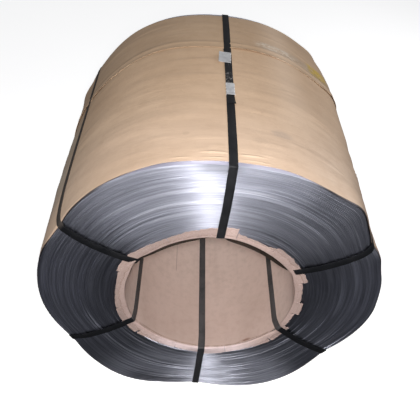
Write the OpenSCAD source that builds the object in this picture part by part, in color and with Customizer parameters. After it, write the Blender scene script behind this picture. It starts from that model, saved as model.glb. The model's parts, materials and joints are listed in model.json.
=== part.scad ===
// Strapped coil of rectangular steel wire, lying on its side.
// Units are millimetres. +Z is up, the coil's axis runs along Y, and the
// origin is on the floor below the middle of the coil. The end that shows
// the turns is at -Y. Angles are seen from -Y: 0 is +X, 90 is up.

/* [Wire coil] */
// Length of the wound coil along its axis
coil_len = 680; // [500:10:800]
// Radius of the hole through the wound wire
wire_bore_r = 206; // [205:1:212]
// Number of turn lines cut into each end
turn_lines = 15; // [6:1:15]
// Depth of a turn line
turn_line_d = 0.6; // [0.3:0.1:1]

/* [Coil radius under each strap] */
// Radius under the lower left strap
r_lower_left = 382; // [375:1:395]
// Radius under the bottom strap
r_bottom = 378; // [372:1:395]
// Radius under the lower right strap
r_lower_right = 370; // [366:1:395]
// Radius under the upper right strap
r_upper_right = 385; // [380:1:400]
// Radius under the top strap
r_top = 396; // [385:1:402]
// Radius under the upper left strap
r_upper_left = 399; // [385:1:402]

/* [Lobes that swell between the straps] */
// Height of the lobe from lower left to bottom
lobe_bottom_left = 38; // [10:0.5:45]
// Height of the lobe from bottom to lower right
lobe_bottom_right = 34; // [10:0.5:45]
// Height of the lobe on the right side
lobe_right = 12.5; // [2:0.5:25]
// Height of the lobe from upper right to top
lobe_top_right = 13; // [2:0.5:20]
// Height of the lobe from top to upper left
lobe_top_left = 6; // [2:0.5:20]
// Height of the lobe on the left side
lobe_left = 5; // [2:0.5:25]
// Lean of the bottom right lobe; below 1 its peak moves to the bottom strap
lean_bottom_right = 0.92; // [0.8:0.01:1]
// Lean of the top right lobe; below 1 its peak moves to the upper right strap
lean_top_right = 0.55; // [0.5:0.05:1]

/* [Paper wrap] */
// Thickness of a wrapped sheet with its layers
wrap_t = 1; // [0.6:0.1:1.4]
// Where the rear sheet's edge lies, from mid-length
wrap_seam_y = 128; // [60:2:180]
// How far the rear sheet laps over the front sheet
wrap_lap = 30; // [10:1:60]

/* [Board liner in the bore] */
// Radius of the clear hole through the coil
liner_bore_r = 203; // [200:0.5:203.5]
// Number of tabs folded out over each end
tab_count = 28; // [16:1:36]
// Thickness of a folded tab
tab_t = 2; // [1:0.5:3]
// How far a middling tab reaches over the end face
tab_reach = 18; // [12:1:20]

/* [Straps and seals] */
// Width of a strap
strap_w = 16; // [12:1:19]
// Thickness of a strap
strap_t = 0.8; // [0.5:0.1:0.9]
// Length of a crimped seal
seal_len = 48; // [30:1:60]
// Plate thickness of a seal
seal_t = 0.8; // [0.5:0.1:1]
// Angle of the top strap
a_top = 91; // [86:0.5:96]
// Angle of the upper right strap
a_upper_right = 33.5; // [28:0.5:38]
// Angle of the lower right strap
a_lower_right = -31; // [-35:0.5:-25]
// Angle of the bottom strap
a_bottom = -90.5; // [-95:0.5:-86]
// Angle of the lower left strap
a_lower_left = -150.5; // [-155:0.5:-145]
// Angle of the upper left strap
a_upper_left = 149.5; // [143:0.5:153]

/* [Hidden] */

// The six strap stations in order round the coil, from lower left.
strap_a = [a_lower_left, a_bottom, a_lower_right,
           a_upper_right, a_top, a_upper_left];
strap_r = [r_lower_left, r_bottom, r_lower_right,
           r_upper_right, r_top, r_upper_left];
lobe_h = [lobe_bottom_left, lobe_bottom_right, lobe_right,
          lobe_top_right, lobe_top_left, lobe_left];
lobe_lean = [1, lean_bottom_right, 1, lean_top_right, 1, 1];
flat_a = 1.6;      // half angle of the flat that each strap presses
steps = 28;        // outline points in each lobe
gap = 0.05;        // play between a strap and what it lies on
half = coil_len / 2;
end_in = half + tab_t + gap;    // a strap's run over an end face
end_out = end_in + strap_t;
rear_seal_r = 300;              // where the seals on the rear end lie

// Radius of the outline at part u (0 to 1) of lobe i.
function lobe_radius(i, u) =
    strap_r[i] + (strap_r[(i + 1) % 6] - strap_r[i]) * u
    + lobe_h[i] * pow(max(0, sin(180 * pow(u, lobe_lean[i]))), 1.5);

// Angle at part u of lobe i, leaving the pressed flat at both ends.
function lobe_angle(i, u) =
    let (a0 = strap_a[i] + flat_a,
         a1 = strap_a[(i + 1) % 6] + (i == 5 ? 360 : 0) - flat_a)
    a0 + (a1 - a0) * u;

// Closed outline of the coil, grown by off.
function outline(off) = [
    for (i = [0:5]) for (k = [0:steps])
        let (r = lobe_radius(i, k / steps) + off,
             a = lobe_angle(i, k / steps))
        [r * cos(a), r * sin(a)]];

// The coil rests on its two bottom lobes.
axis_z = max([for (p = outline(wrap_t)) -p[1]]);

// Distance from the axis to the underside of strap i's outer run, which
// lies on the paper.
function strap_seat(i) = (strap_r[i] + wrap_t) * cos(flat_a) + gap;

// An outline in the XZ plane drawn out from y0 to y1.
module drawn(y0, y1) {
    translate([0, y1, axis_z]) rotate([90, 0, 0])
        linear_extrude(y1 - y0) children();
}

// A cylinder along Y, centred on the coil.
module along_y(r, len) {
    translate([0, 0, axis_z]) rotate([90, 0, 0])
        cylinder(r = r, h = len, center = true, $fn = 180);
}

// Local X points out from the axis at angle a, Y along the coil.
module station(a) {
    translate([0, 0, axis_z]) rotate([0, -a, 0]) children();
}

// A ring of paper between two offsets of the outline.
module paper(y0, y1, off0, off1) {
    drawn(y0, y1) difference() {
        polygon(outline(off1));
        polygon(outline(off0));
    }
}

// The wire is wound in even layers. Shallow rings on both ends mark
// where groups of turns meet.
module wire_coil() {
    line_step = 150 / turn_lines;
    color("#5d6068") difference() {
        drawn(-half, half) polygon(outline(0));
        along_y(wire_bore_r, coil_len + 4);
        for (s = [-1, 1]) for (k = [0:turn_lines - 1])
            translate([0, s * half, axis_z]) rotate([90, 0, 0])
                rotate_extrude($fn = 180)
                    translate([wire_bore_r + 8 + k * line_step, 0])
                        polygon([[-0.7, 0], [0, -turn_line_d],
                                 [0.7, 0], [0, turn_line_d]]);
    }
}

// The front sheet thins to half where the rear sheet laps over it, because
// the straps and the coil's weight press the lap flat.
module wrap_front() {
    color("#d8b993") union() {
        paper(-half, wrap_seam_y, 0, wrap_t);
        paper(wrap_seam_y - 2, wrap_seam_y + wrap_lap, 0, wrap_t / 2);
    }
}

// The rear sheet lies over the end of the front sheet.
module wrap_rear() {
    color("#b89a78") union() {
        paper(wrap_seam_y + 0.3, half, wrap_t / 2, wrap_t);
        paper(wrap_seam_y + wrap_lap + 0.3, half, 0, wrap_t / 2);
    }
}

// How far tab k reaches, uneven like torn board.
function tab_out(k) =
    wire_bore_r + tab_reach + 3 * sin(137 * k) + 2 * sin(71 * k + 40);

// Outline of one end's tabs, with a narrow slit between each pair.
function tab_outline(shift) = [
    for (k = [0:tab_count - 1])
        let (a = k * 360 / tab_count + 4, h = 180 / tab_count - 0.35,
             slit = wire_bore_r + 3, out = tab_out(k + shift))
        each [[slit * cos(a - h), slit * sin(a - h)],
              [out * cos(a - 0.97 * h), out * sin(a - 0.97 * h)],
              [out * cos(a + 0.97 * h), out * sin(a + 0.97 * h)],
              [slit * cos(a + h), slit * sin(a + h)]]];

// Board tube in the bore, its ends slit into tabs that fold out flat.
module core_liner() {
    color("#b29b8c") difference() {
        union() {
            along_y(wire_bore_r, coil_len);
            drawn(-half - tab_t, -half) polygon(tab_outline(0));
            drawn(half, half + tab_t) polygon(tab_outline(9));
        }
        along_y(liner_bore_r, coil_len + 20);
    }
}

// Strap i: one closed loop through the bore and over the wrap.
module strap(i) {
    seat = strap_seat(i);
    bore_out = liner_bore_r - gap;
    bore_in = bore_out - strap_t;
    color("#1d1e21") station(strap_a[i]) union() {
        intersection() {
            rotate([90, 0, 0]) difference() {
                cylinder(r = bore_out, h = 2 * end_out, center = true,
                         $fn = 180);
                cylinder(r = bore_in, h = 2 * end_out + 2, center = true,
                         $fn = 180);
            }
            translate([bore_in - 10, -end_out - 1, -strap_w / 2])
                cube([20, 2 * end_out + 2, strap_w]);
        }
        for (s = [0, 1]) mirror([0, s, 0])
            translate([bore_in, -end_out, -strap_w / 2])
                cube([seat + strap_t - bore_in, strap_t, strap_w]);
        translate([seat, -end_out, -strap_w / 2])
            cube([strap_t, 2 * end_out, strap_w]);
        children();
    }
}

// The loose end of strap i, lapped on its outer run from y0 to y1.
module tail_outside(i, y0, y1) {
    translate([strap_seat(i), y0, -strap_w / 2])
        cube([2 * strap_t, y1 - y0, strap_w]);
}

// The loose end of a strap, lapped on the rear end of the coil.
module tail_rear() {
    translate([rear_seal_r - 58, end_in, -strap_w / 2])
        cube([116, 2 * strap_t, strap_w]);
}

// A crimped seal over both layers of strap i on its outer run, centred at
// y, with a lip folded down on each side.
module seal(i, y) {
    top = strap_seat(i) + 2 * strap_t;
    lip = strap_w / 2 + gap;
    color("#c9c9cb") station(strap_a[i]) translate([0, y, 0]) union() {
        translate([top, -seal_len / 2, -lip - seal_t])
            cube([seal_t, seal_len, 2 * (lip + seal_t)]);
        for (s = [0, 1]) mirror([0, 0, s])
            translate([top - 2 * strap_t + 0.2, -seal_len / 2, lip])
                cube([2 * strap_t - 0.2, seal_len, seal_t]);
    }
}

// The same seal on the rear end of the coil.
module rear_seal(i) {
    lip = strap_w / 2 + gap;
    color("#c9c9cb") station(strap_a[i])
        translate([rear_seal_r - seal_len / 2, end_in, 0]) union() {
            translate([0, 2 * strap_t, -lip - seal_t])
                cube([seal_len, seal_t, 2 * (lip + seal_t)]);
            for (s = [0, 1]) mirror([0, 0, s])
                translate([0, 0.2, lip])
                    cube([seal_len, 2 * strap_t - 0.2, seal_t]);
        }
}

// The rear seal on the top strap has sprung open: one lip still grips
// the strap and the other stands out flat.
module open_seal(i, y, wing) {
    top = strap_seat(i) + 2 * strap_t;
    lip = strap_w / 2 + gap;
    color("#d4d5d8") station(strap_a[i]) translate([0, y, 0]) union() {
        translate([top, -seal_len / 2 - 2, -lip - seal_t])
            cube([seal_t, seal_len + 4, 2 * lip + seal_t + wing]);
        translate([top - 2 * strap_t + 0.2, -seal_len / 2 - 2,
                   -lip - seal_t])
            cube([2 * strap_t - 0.2, seal_len + 4, seal_t]);
    }
}

module strap_lower_left() { strap(0) tail_rear(); }
module strap_bottom() { strap(1) tail_rear(); }
module strap_lower_right() { strap(2) tail_rear(); }
module strap_upper_right() { strap(3) tail_rear(); }
module strap_top() { strap(4) tail_outside(4, -136, 112); }
module strap_upper_left() { strap(5) tail_rear(); }
module seal_lower_left() { rear_seal(0); }
module seal_bottom() { rear_seal(1); }
module seal_lower_right() { rear_seal(2); }
module seal_upper_right() { rear_seal(3); }
module seal_top_front() { seal(4, -79); }
module seal_top_rear() { open_seal(4, 68, 10); }
module seal_upper_left() { rear_seal(5); }

wire_coil();
wrap_front();
wrap_rear();
core_liner();
strap_top();
strap_upper_right();
strap_lower_right();
strap_bottom();
strap_lower_left();
strap_upper_left();
seal_top_front();
seal_top_rear();
seal_upper_right();
seal_lower_right();
seal_bottom();
seal_lower_left();
seal_upper_left();
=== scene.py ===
"""Strapped coil of rectangular steel wire: finishes, paper, board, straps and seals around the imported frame."""
import json
import math

import bpy
import numpy as np
from mathutils import Matrix, Vector


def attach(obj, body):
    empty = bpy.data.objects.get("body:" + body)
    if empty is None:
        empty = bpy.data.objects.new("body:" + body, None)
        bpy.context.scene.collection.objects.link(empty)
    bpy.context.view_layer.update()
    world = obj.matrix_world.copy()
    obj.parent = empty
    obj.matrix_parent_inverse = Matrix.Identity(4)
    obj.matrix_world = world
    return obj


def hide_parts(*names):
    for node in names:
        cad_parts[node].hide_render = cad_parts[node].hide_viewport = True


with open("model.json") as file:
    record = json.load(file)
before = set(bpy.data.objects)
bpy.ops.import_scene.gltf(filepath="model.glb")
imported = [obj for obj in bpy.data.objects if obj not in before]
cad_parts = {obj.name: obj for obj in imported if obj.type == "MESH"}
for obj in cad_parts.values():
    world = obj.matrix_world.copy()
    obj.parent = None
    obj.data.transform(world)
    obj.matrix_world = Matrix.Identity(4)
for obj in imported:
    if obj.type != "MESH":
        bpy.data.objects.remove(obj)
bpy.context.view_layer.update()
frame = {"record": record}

# ---------------------------------------------------------------- sizes (mm)
MM = 0.001
AXIS_Z = frame["record"]["mounts"][0]["pos_m"][2] / MM
HALF = 340.0            # half the coil's length
WIRE_R = 206.0          # hole in the wound wire
BORE_R = 203.0          # clear hole through the liner
STRAP_W, STRAP_T = 17.4, 0.8
STATION = ["lower_left", "bottom", "lower_right", "upper_right", "top", "upper_left"]
STATION_A = np.array([-150.5, -90.5, -31.0, 33.5, 91.0, 149.5])
STATION_R = np.array([382.0, 378.0, 370.0, 385.0, 396.0, 399.0])
LOBE_H = np.array([38.0, 34.0, 12.5, 13.0, 6.0, 5.0])
LOBE_LEAN = np.array([1.0, 0.92, 1.0, 0.55, 1.0, 1.0])
FLAT_A = 1.6


def outline(theta):
    """Radius of the wound wire at an angle in degrees, seen from -Y."""
    t = np.mod(np.asarray(theta, float) - STATION_A[0], 360.0)
    start = STATION_A - STATION_A[0]
    end = np.append(start[1:], 360.0)
    i = np.clip(np.searchsorted(start, t, side="right") - 1, 0, 5)
    u = np.clip((t - start[i] - FLAT_A) / (end[i] - start[i] - 2 * FLAT_A), 0, 1)
    return (STATION_R[i] + (STATION_R[(i + 1) % 6] - STATION_R[i]) * u
            + LOBE_H[i] * np.maximum(np.sin(np.pi * u ** LOBE_LEAN[i]), 0.0) ** 1.5)


def off_station(theta):
    """Angle in degrees to the nearest strap."""
    t = np.asarray(theta, float)[..., None] - STATION_A
    return np.abs((t + 180) % 360 - 180).min(-1)


def polar(r, theta, y):
    """Points in metres from radius (mm), angle (degrees) and y (mm)."""
    r, theta, y = np.broadcast_arrays(np.asarray(r, float), np.asarray(theta, float), np.asarray(y, float))
    a = np.radians(theta)
    return np.stack([r * np.cos(a), y, r * np.sin(a) + AXIS_Z], -1) * MM


def around(knots, theta, soften=2.0):
    """Value at theta of (angle, value) knots that run round the coil, a little smoothed."""
    k = sorted((a % 360.0, v) for a, v in knots)
    a = np.array([x[0] for x in k])
    v = np.array([x[1] for x in k])
    a = np.concatenate([a - 360, a, a + 360])
    v = np.concatenate([v, v, v])
    fine = np.arange(-60, 420, 0.5)
    val = np.interp(fine, a, v)
    if soften > 0:
        w = np.exp(-0.5 * (np.arange(-12, 12.5, 0.5) / soften) ** 2)
        pad = len(w) // 2
        val = np.convolve(np.pad(val, pad, mode="edge"), w / w.sum(), mode="valid")
    return np.interp(np.mod(theta, 360.0), fine, val)


def waves(rng, count, kt, ky, amp):
    """A smooth random field that closes round the coil: f(theta in degrees, y in mm)."""
    a = rng.integers(kt[0], kt[1] + 1, count) * rng.choice([-1, 1], count)
    b = 2 * np.pi / rng.uniform(ky[0], ky[1], count)
    p = rng.uniform(0, 2 * np.pi, count)
    g = rng.uniform(0.4, 1.0, count)
    g = amp * g / np.sqrt((g ** 2).sum() / 2)

    def field(theta, y):
        t = np.radians(theta)
        out = 0.0
        for i in range(count):
            out = out + g[i] * np.sin(a[i] * t + b[i] * y + p[i])
        return out

    return field


def corner_drop(depth, r):
    """How far a rounded corner of radius r falls at this depth (mm) from the end face."""
    d = np.clip(r - depth, 0, r * 0.995)
    return r - np.sqrt(r * r - d * d)


# Rounding of the coil's outer edge (mm) round the coil.
EDGE = [(91, 3), (75, 2.5), (60, 3), (52, 3), (46, 4), (40, 7), (33.5, 10), (27, 7), (15, 5), (5, 3), (-5, 1.5), (-15, 0.9), (-28, 1.0),
        (-31, 3), (-34, 1.0), (-45, 0.9), (-88, 0.9), (-90.5, 1.6), (-93, 0.9), (-120, 0.9), (-146, 1.0), (-150, 2.5), (-154, 1.0),
        (-165, 1.0), (180, 2), (168, 4), (158, 8), (149.5, 14), (142, 8), (132, 5), (120, 3.5), (105, 3)]
# How far the near end's rim stands out of the even outline, or in (mm): the straps have pulled its edge out of true.
END_SHAPE = [(91, -7), (104, -7), (110, -6), (116, -5.5), (122, -4.5), (128, -3.5), (133, -3.3), (138, -4), (142, -5.5), (146, -8), (149.5, -11),
             (155, -8.5), (160, -5), (165, -2.6), (170, -1.6), (176, -1.2), (184, 0.5), (190, 1.5), (197, 1.5), (204, 0), (210, 0), (218, 0),
             (222, -1.5), (226, -3.6), (230, -5), (234, -4.6), (238, -3), (242, -1.2), (246, 0), (250, 1), (258, 2), (264, 2), (268, 0.6),
             (270, -0.8), (273, 0.6), (280, 2), (290, 1.2), (300, 0.8), (310, 1.8), (320, 1.8), (326, 0.8), (330, -1.5), (334, 1), (340, 2.4),
             (350, 2.4), (356, 1), (0, 0.4), (3, -2.4), (8, -3.6), (12, -2.6), (16, -2.2), (20, -3.0), (22.5, -1.2), (25, 1.4), (28, 1.4), (31, -2.6), (33.5, -6.4), (37, -8), (41, -8),
             (44, -4), (46.5, 0), (48.5, 3.5), (51, 4), (54, -1), (57, -4.5), (60, -5.5), (63, -5), (66, -4.4), (70, -4), (76, -4.6), (84, -6)]
END_FADE = 55.0


def edge_radius(theta):
    return around(EDGE, np.asarray(theta, float), 1.5)


def end_shape(theta, y):
    """How far the ends' uneven rims move the coil's outside here (mm); the rear end is the more even one."""
    d = around(END_SHAPE, np.asarray(theta, float), 1.0)
    rear = 0.5 * (1 - np.exp(-((np.mod(theta, 360.0) - 152.0) / 14.0) ** 2))
    return d * (np.exp(-np.maximum(y + HALF, 0) / END_FADE) + rear * np.exp(-np.maximum(HALF - y, 0) / END_FADE))


def bulge(theta, y):
    """Slack in the paper away from the ends (mm), most of it above the upper right strap."""
    t = np.mod(np.asarray(theta, float) + 180, 360) - 180
    right = np.interp(y, [-310, -240, -195, -140, -75, 0, 95, 210, 280, 330], [0.6, 1.8, 3.0, 3.8, 4.8, 8.7, 10.0, 11.7, 7.0, 0])
    left = np.interp(y, [-260, -150, -60, 0, 50, 100, 150, 200, 240, 275, 300, 335], [0, 2.8, 4.6, 4.2, 2.8, 2.8, 2.8, 3.4, 4.6, 7.2, 8.4, 0])
    return (right * np.exp(-((t - 43.0) / 8.0) ** 2) * (1 - np.exp(-((t - 33.5) / 4.0) ** 2))
            + left * np.exp(-((t - 164.0) / 7.5) ** 2) * (1 - np.exp(-((t - 149.5) / 5.0) ** 2)))


def flare(theta):
    """How far the near mouth is crushed outward where the upper left strap is pulled over it (mm)."""
    return 8.0 * np.exp(-(((np.asarray(theta, float) - 147.0 + 180) % 360 - 180) / 8.0) ** 2)


def above_floor(r, theta):
    """The radius, kept from passing through the floor."""
    down = np.maximum(-np.sin(np.radians(theta)), 1e-6)
    return np.minimum(r, AXIS_Z / down)


# ------------------------------------------------------------ mesh building
class Shells:
    """Closed shells gathered into one mesh."""

    def __init__(self):
        self.v, self.f, self.uv, self.m, self.n = [], [], [], [], 0

    def add(self, co, faces, uv, slots=None):
        co = np.asarray(co, float)
        vol = 0.0
        mid = co.mean(0)
        for f in faces:
            p = co[f] - mid
            for k in range(1, len(f) - 1):
                vol += np.dot(p[0], np.cross(p[k], p[k + 1])) if len(faces) < 400 else 0.0
        if len(faces) >= 400:
            f4 = np.array([f for f in faces if len(f) == 4])
            p = co[f4] - mid
            vol = (np.einsum("ij,ij->i", p[:, 0], np.cross(p[:, 1], p[:, 2]))
                   + np.einsum("ij,ij->i", p[:, 0], np.cross(p[:, 2], p[:, 3]))).sum()
        if vol < 0:
            faces = [f[::-1] for f in faces]
            uv = [u[::-1] for u in uv]
        self.v.append(co)
        self.f += [[i + self.n for i in f] for f in faces]
        self.uv += uv
        self.m += slots if slots is not None else [0] * len(faces)
        self.n += len(co)

    def piece(self, name, materials, sharp=35.0):
        me = bpy.data.meshes.new(name)
        me.from_pydata(np.concatenate(self.v).tolist(), [], self.f)
        layer = me.uv_layers.new(name="UVMap")
        layer.data.foreach_set("uv", np.concatenate([np.asarray(u, float).ravel() for u in self.uv]))
        me.polygons.foreach_set("use_smooth", np.ones(len(me.polygons), bool))
        me.set_sharp_from_angle(angle=math.radians(sharp))
        me.update()
        ob = bpy.data.objects.new(name, me)
        bpy.context.scene.collection.objects.link(ob)
        for material in materials if isinstance(materials, (list, tuple)) else [materials]:
            me.materials.append(material)
        me.polygons.foreach_set("material_index", np.array(self.m, np.int32))
        return ob


def swept(shells, rings, u, v, closed):
    """A shell through rings (M, N, 3). u (M or M+1) and v (N+1) are the UVs along and across."""
    rings = np.asarray(rings, float)
    m, n = rings.shape[:2]
    faces, uv = [], []
    last = m if closed else m - 1
    for i in range(last):
        a, b = i * n, ((i + 1) % m) * n
        for j in range(n):
            k = (j + 1) % n
            faces.append([a + j, a + k, b + k, b + j])
            uv.append([(u[i], v[j]), (u[i], v[j + 1]), (u[i + 1], v[j + 1]), (u[i + 1], v[j])])
    if not closed:
        faces.append(list(range(n))[::-1])
        uv.append([(u[0], v[j]) for j in range(n)][::-1])
        faces.append([(m - 1) * n + j for j in range(n)])
        uv.append([(u[m - 1], v[j]) for j in range(n)])
    shells.add(rings.reshape(-1, 3), faces, uv)


# -------------------------------------------------------------- materials
class Nodes:
    """A short way to write a material's node tree."""

    def __init__(self, name):
        self.mat = bpy.data.materials.new(name)
        self.mat.use_nodes = True
        self.t = self.mat.node_tree
        self.t.nodes.clear()
        self.out = self.t.nodes.new("ShaderNodeOutputMaterial")
        self.bsdf = self.t.nodes.new("ShaderNodeBsdfPrincipled")
        self.t.links.new(self.bsdf.outputs[0], self.out.inputs["Surface"])

    def put(self, socket, value):
        if isinstance(value, bpy.types.NodeSocket):
            self.t.links.new(value, socket)
        elif value is not None:
            socket.default_value = value

    def set(self, **kw):
        for k, val in kw.items():
            self.put(self.bsdf.inputs[k.replace("_", " ")], val)

    def math(self, op, a, b=None, clamp=False):
        n = self.t.nodes.new("ShaderNodeMath")
        n.operation = op
        n.use_clamp = clamp
        self.put(n.inputs[0], a)
        if b is not None:
            self.put(n.inputs[1], b)
        return n.outputs[0]

    def vec(self, op, a, b=None):
        n = self.t.nodes.new("ShaderNodeVectorMath")
        n.operation = op
        self.put(n.inputs[0], a)
        if b is not None:
            self.put(n.inputs[1], b)
        return n.outputs["Value"] if op in ("LENGTH", "DISTANCE", "DOT_PRODUCT") else n.outputs[0]

    def object_xyz(self):
        n = self.t.nodes.new("ShaderNodeTexCoord")
        return n.outputs["Object"]

    def uv(self):
        n = self.t.nodes.new("ShaderNodeTexCoord")
        return n.outputs["UV"]

    def split(self, v):
        n = self.t.nodes.new("ShaderNodeSeparateXYZ")
        self.put(n.inputs[0], v)
        return n.outputs[0], n.outputs[1], n.outputs[2]

    def join(self, x, y, z):
        n = self.t.nodes.new("ShaderNodeCombineXYZ")
        for s, val in zip(n.inputs, (x, y, z)):
            self.put(s, val)
        return n.outputs[0]

    def noise(self, vector, scale=5.0, detail=3.0, rough=0.5, distort=0.0):
        n = self.t.nodes.new("ShaderNodeTexNoise")
        self.put(n.inputs["Vector"], vector)
        n.inputs["Scale"].default_value = scale
        n.inputs["Detail"].default_value = detail
        n.inputs["Roughness"].default_value = rough
        n.inputs["Distortion"].default_value = distort
        return n.outputs[0]

    def voronoi(self, vector, scale=5.0, feature="F1"):
        n = self.t.nodes.new("ShaderNodeTexVoronoi")
        n.feature = feature
        self.put(n.inputs["Vector"], vector)
        n.inputs["Scale"].default_value = scale
        return n.outputs["Distance"]

    def ramp(self, fac, stops, ease="LINEAR"):
        n = self.t.nodes.new("ShaderNodeValToRGB")
        n.color_ramp.interpolation = ease
        e = n.color_ramp.elements
        while len(e) < len(stops):
            e.new(0.5)
        for el, (pos, col) in zip(e, stops):
            el.position = pos
            el.color = tuple(col) + (1.0,) if len(col) == 3 else tuple(col)
        self.put(n.inputs[0], fac)
        return n.outputs[0]

    def band(self, value, lo, hi, soft):
        """1 where value is between lo and hi, with soft edges."""
        a = self.range(value, lo - soft, lo + soft, 0.0, 1.0)
        b = self.range(value, hi - soft, hi + soft, 1.0, 0.0)
        return self.math("MULTIPLY", a, b)

    def range(self, value, a, b, c, d, smooth=True):
        n = self.t.nodes.new("ShaderNodeMapRange")
        n.interpolation_type = "SMOOTHSTEP" if smooth else "LINEAR"
        self.put(n.inputs[0], value)
        for i, x in zip((1, 2, 3, 4), (a, b, c, d)):
            n.inputs[i].default_value = x
        return n.outputs[0]

    def mix(self, fac, a, b, how="MIX"):
        n = self.t.nodes.new("ShaderNodeMix")
        n.data_type = "RGBA"
        n.blend_type = how
        n.clamp_factor = True
        self.put(n.inputs[0], fac)
        for i, x in ((6, a), (7, b)):
            if isinstance(x, (tuple, list)):
                x = tuple(x) + (1.0,) if len(x) == 3 else tuple(x)
            self.put(n.inputs[i], x)
        return n.outputs[2]

    def bump(self, height, strength, distance, normal=None):
        n = self.t.nodes.new("ShaderNodeBump")
        n.inputs["Strength"].default_value = strength
        n.inputs["Distance"].default_value = distance
        self.put(n.inputs["Height"], height)
        if normal is not None:
            self.put(n.inputs["Normal"], normal)
        return n.outputs[0]

    def angle(self):
        """Angle round the coil in degrees, distance along it and from its axis, in metres."""
        x, y, z = self.split(self.object_xyz())
        z = self.math("SUBTRACT", z, AXIS_Z * MM)
        a = self.math("MULTIPLY", self.math("ARCTAN2", z, x), 180 / math.pi)
        r = self.math("SQRT", self.math("ADD", self.math("MULTIPLY", x, x), self.math("MULTIPLY", z, z)))
        return a, y, r, x, z


def steel_material():
    m = Nodes("drawn_steel_wire")
    u, v, _ = m.split(m.uv())
    a = m.math("MULTIPLY", u, 2 * math.pi)
    cx, sx = m.math("COSINE", a), m.math("SINE", a)

    def along_turns(k, lines):
        return m.join(m.math("MULTIPLY", cx, k), m.math("MULTIPLY", sx, k), m.math("MULTIPLY", v, lines))

    broad = m.noise(along_turns(1.1, 9.0), 1.0, 2.0, 0.55)
    lines = m.noise(along_turns(1.3, 46.0), 1.0, 3.0, 0.6)
    fine = m.noise(along_turns(3.2, 230.0), 1.0, 2.0, 0.6)
    mixed = m.math("ADD", m.math("MULTIPLY", lines, 0.42), m.math("MULTIPLY", fine, 0.58))
    tone = m.ramp(mixed, [(0.30, (0.25, 0.254, 0.30)), (0.48, (0.44, 0.449, 0.522)), (0.60, (0.56, 0.57, 0.65)),
                          (0.74, (0.74, 0.75, 0.83))])
    tone = m.mix(m.range(broad, 0.35, 0.7, 0.0, 0.25), tone, (0.31, 0.315, 0.385), "MIX")
    # cleaner turns at a few places in the build-up
    clean_turns_and_painted_light = m.noise(along_turns(1.6, 6.0), 1.0, 2.0, 0.5)
    for at, half_w in ((0.37, 0.018), (0.51, 0.022), (0.67, 0.020), (0.85, 0.012)):
        stripe = m.math("MULTIPLY", m.band(v, at - half_w, at + half_w, 0.010), m.range(clean_turns_and_painted_light, 0.40, 0.62, 0.0, 0.32))
        tone = m.mix(stripe, tone, (0.86, 0.87, 0.96))
    # painted light: the steel's colour is set by height, lightest at mid-height, darker at the bottom and darkest at
    # the top, standing in for how the light falls on it; the turns are also darker towards the bore
    _, _, r, _, z = m.angle()
    painted_light_by_height = m.ramp(m.range(z, -0.4, 0.4, 0.0, 1.0, False),
                  [(q, (g, g, g)) for q, g in ((0.025, 0.53), (0.09, 0.50), (0.16, 0.50), (0.25, 0.58), (0.375, 0.70), (0.5, 0.76), (0.625, 0.70),
                                               (0.75, 0.53), (0.875, 0.37), (0.985, 0.34))])
    inner = m.range(r, 0.215, 0.34, 1.10, 1.62)
    tone = m.vec("MULTIPLY", tone, m.vec("MULTIPLY", painted_light_by_height, m.join(inner, inner, inner)))
    # painted shade and painted highlight: the last turns are darkened left of the top strap and of the bottom strap to
    # tone down their highlight, and the outer half of the build-up is lightened right of the top strap
    a_deg = m.angle()[0]
    painted_shade_last_turns = m.math("ADD", m.math("MULTIPLY", m.band(a_deg, 89.0, 100.0, 3.0), m.range(v, 0.84, 0.95, 0.0, 0.48)),
                  m.math("MULTIPLY", m.band(a_deg, -118.0, -94.0, 5.0), m.range(v, 0.62, 0.92, 0.0, 0.52)))
    tone = m.mix(painted_shade_last_turns, tone, (0.03, 0.03, 0.036))
    # painted highlight: lighter turns right of the top strap
    clean_turns_and_painted_light = m.math("ADD", 1.0, m.math("MULTIPLY", m.band(a_deg, 64.0, 86.0, 5.0), m.range(v, 0.45, 0.80, 0.0, 0.30)))
    tone = m.vec("MULTIPLY", tone, m.join(clean_turns_and_painted_light, clean_turns_and_painted_light, clean_turns_and_painted_light))
    # a painted shadow line where the paper meets the rim, and the bare outside of the last turn
    above = m.band(a_deg, 66.0, 128.0, 5.0)
    rim = m.math("MULTIPLY", m.band(v, 0.9885, 1.002, 0.002), m.math("SUBTRACT", 1.0, above))
    tone = m.mix(m.math("MULTIPLY", rim, 0.85), tone, (0.06, 0.055, 0.06))
    bare = m.math("MULTIPLY", m.band(v, 1.004, 1.4, 0.004), 0.9)
    tone = m.mix(bare, tone, (0.19, 0.185, 0.228))
    # painted light: the bare outside is made lighter right of the top strap
    tone = m.mix(m.math("MULTIPLY", bare, m.band(a_deg, 50.0, 86.0, 3.0)), tone, (0.38, 0.37, 0.44))
    turn = m.t.nodes.new("ShaderNodeTangent")
    turn.direction_type = "UV_MAP"
    turn.uv_map = "Rings"
    height = m.math("ADD", m.math("MULTIPLY", fine, 0.6), m.math("MULTIPLY", lines, 0.4))
    m.set(Base_Color=tone, Metallic=1.0, Roughness=m.math("ADD", m.range(lines, 0.3, 0.7, 0.50, 0.68), m.range(z, -0.3, 0.3, 0.0, 0.12)), Anisotropic=1.0,
          Anisotropic_Rotation=0.25, Tangent=turn.outputs[0], Normal=m.bump(height, 0.35, 0.0006))
    return m.mat


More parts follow.
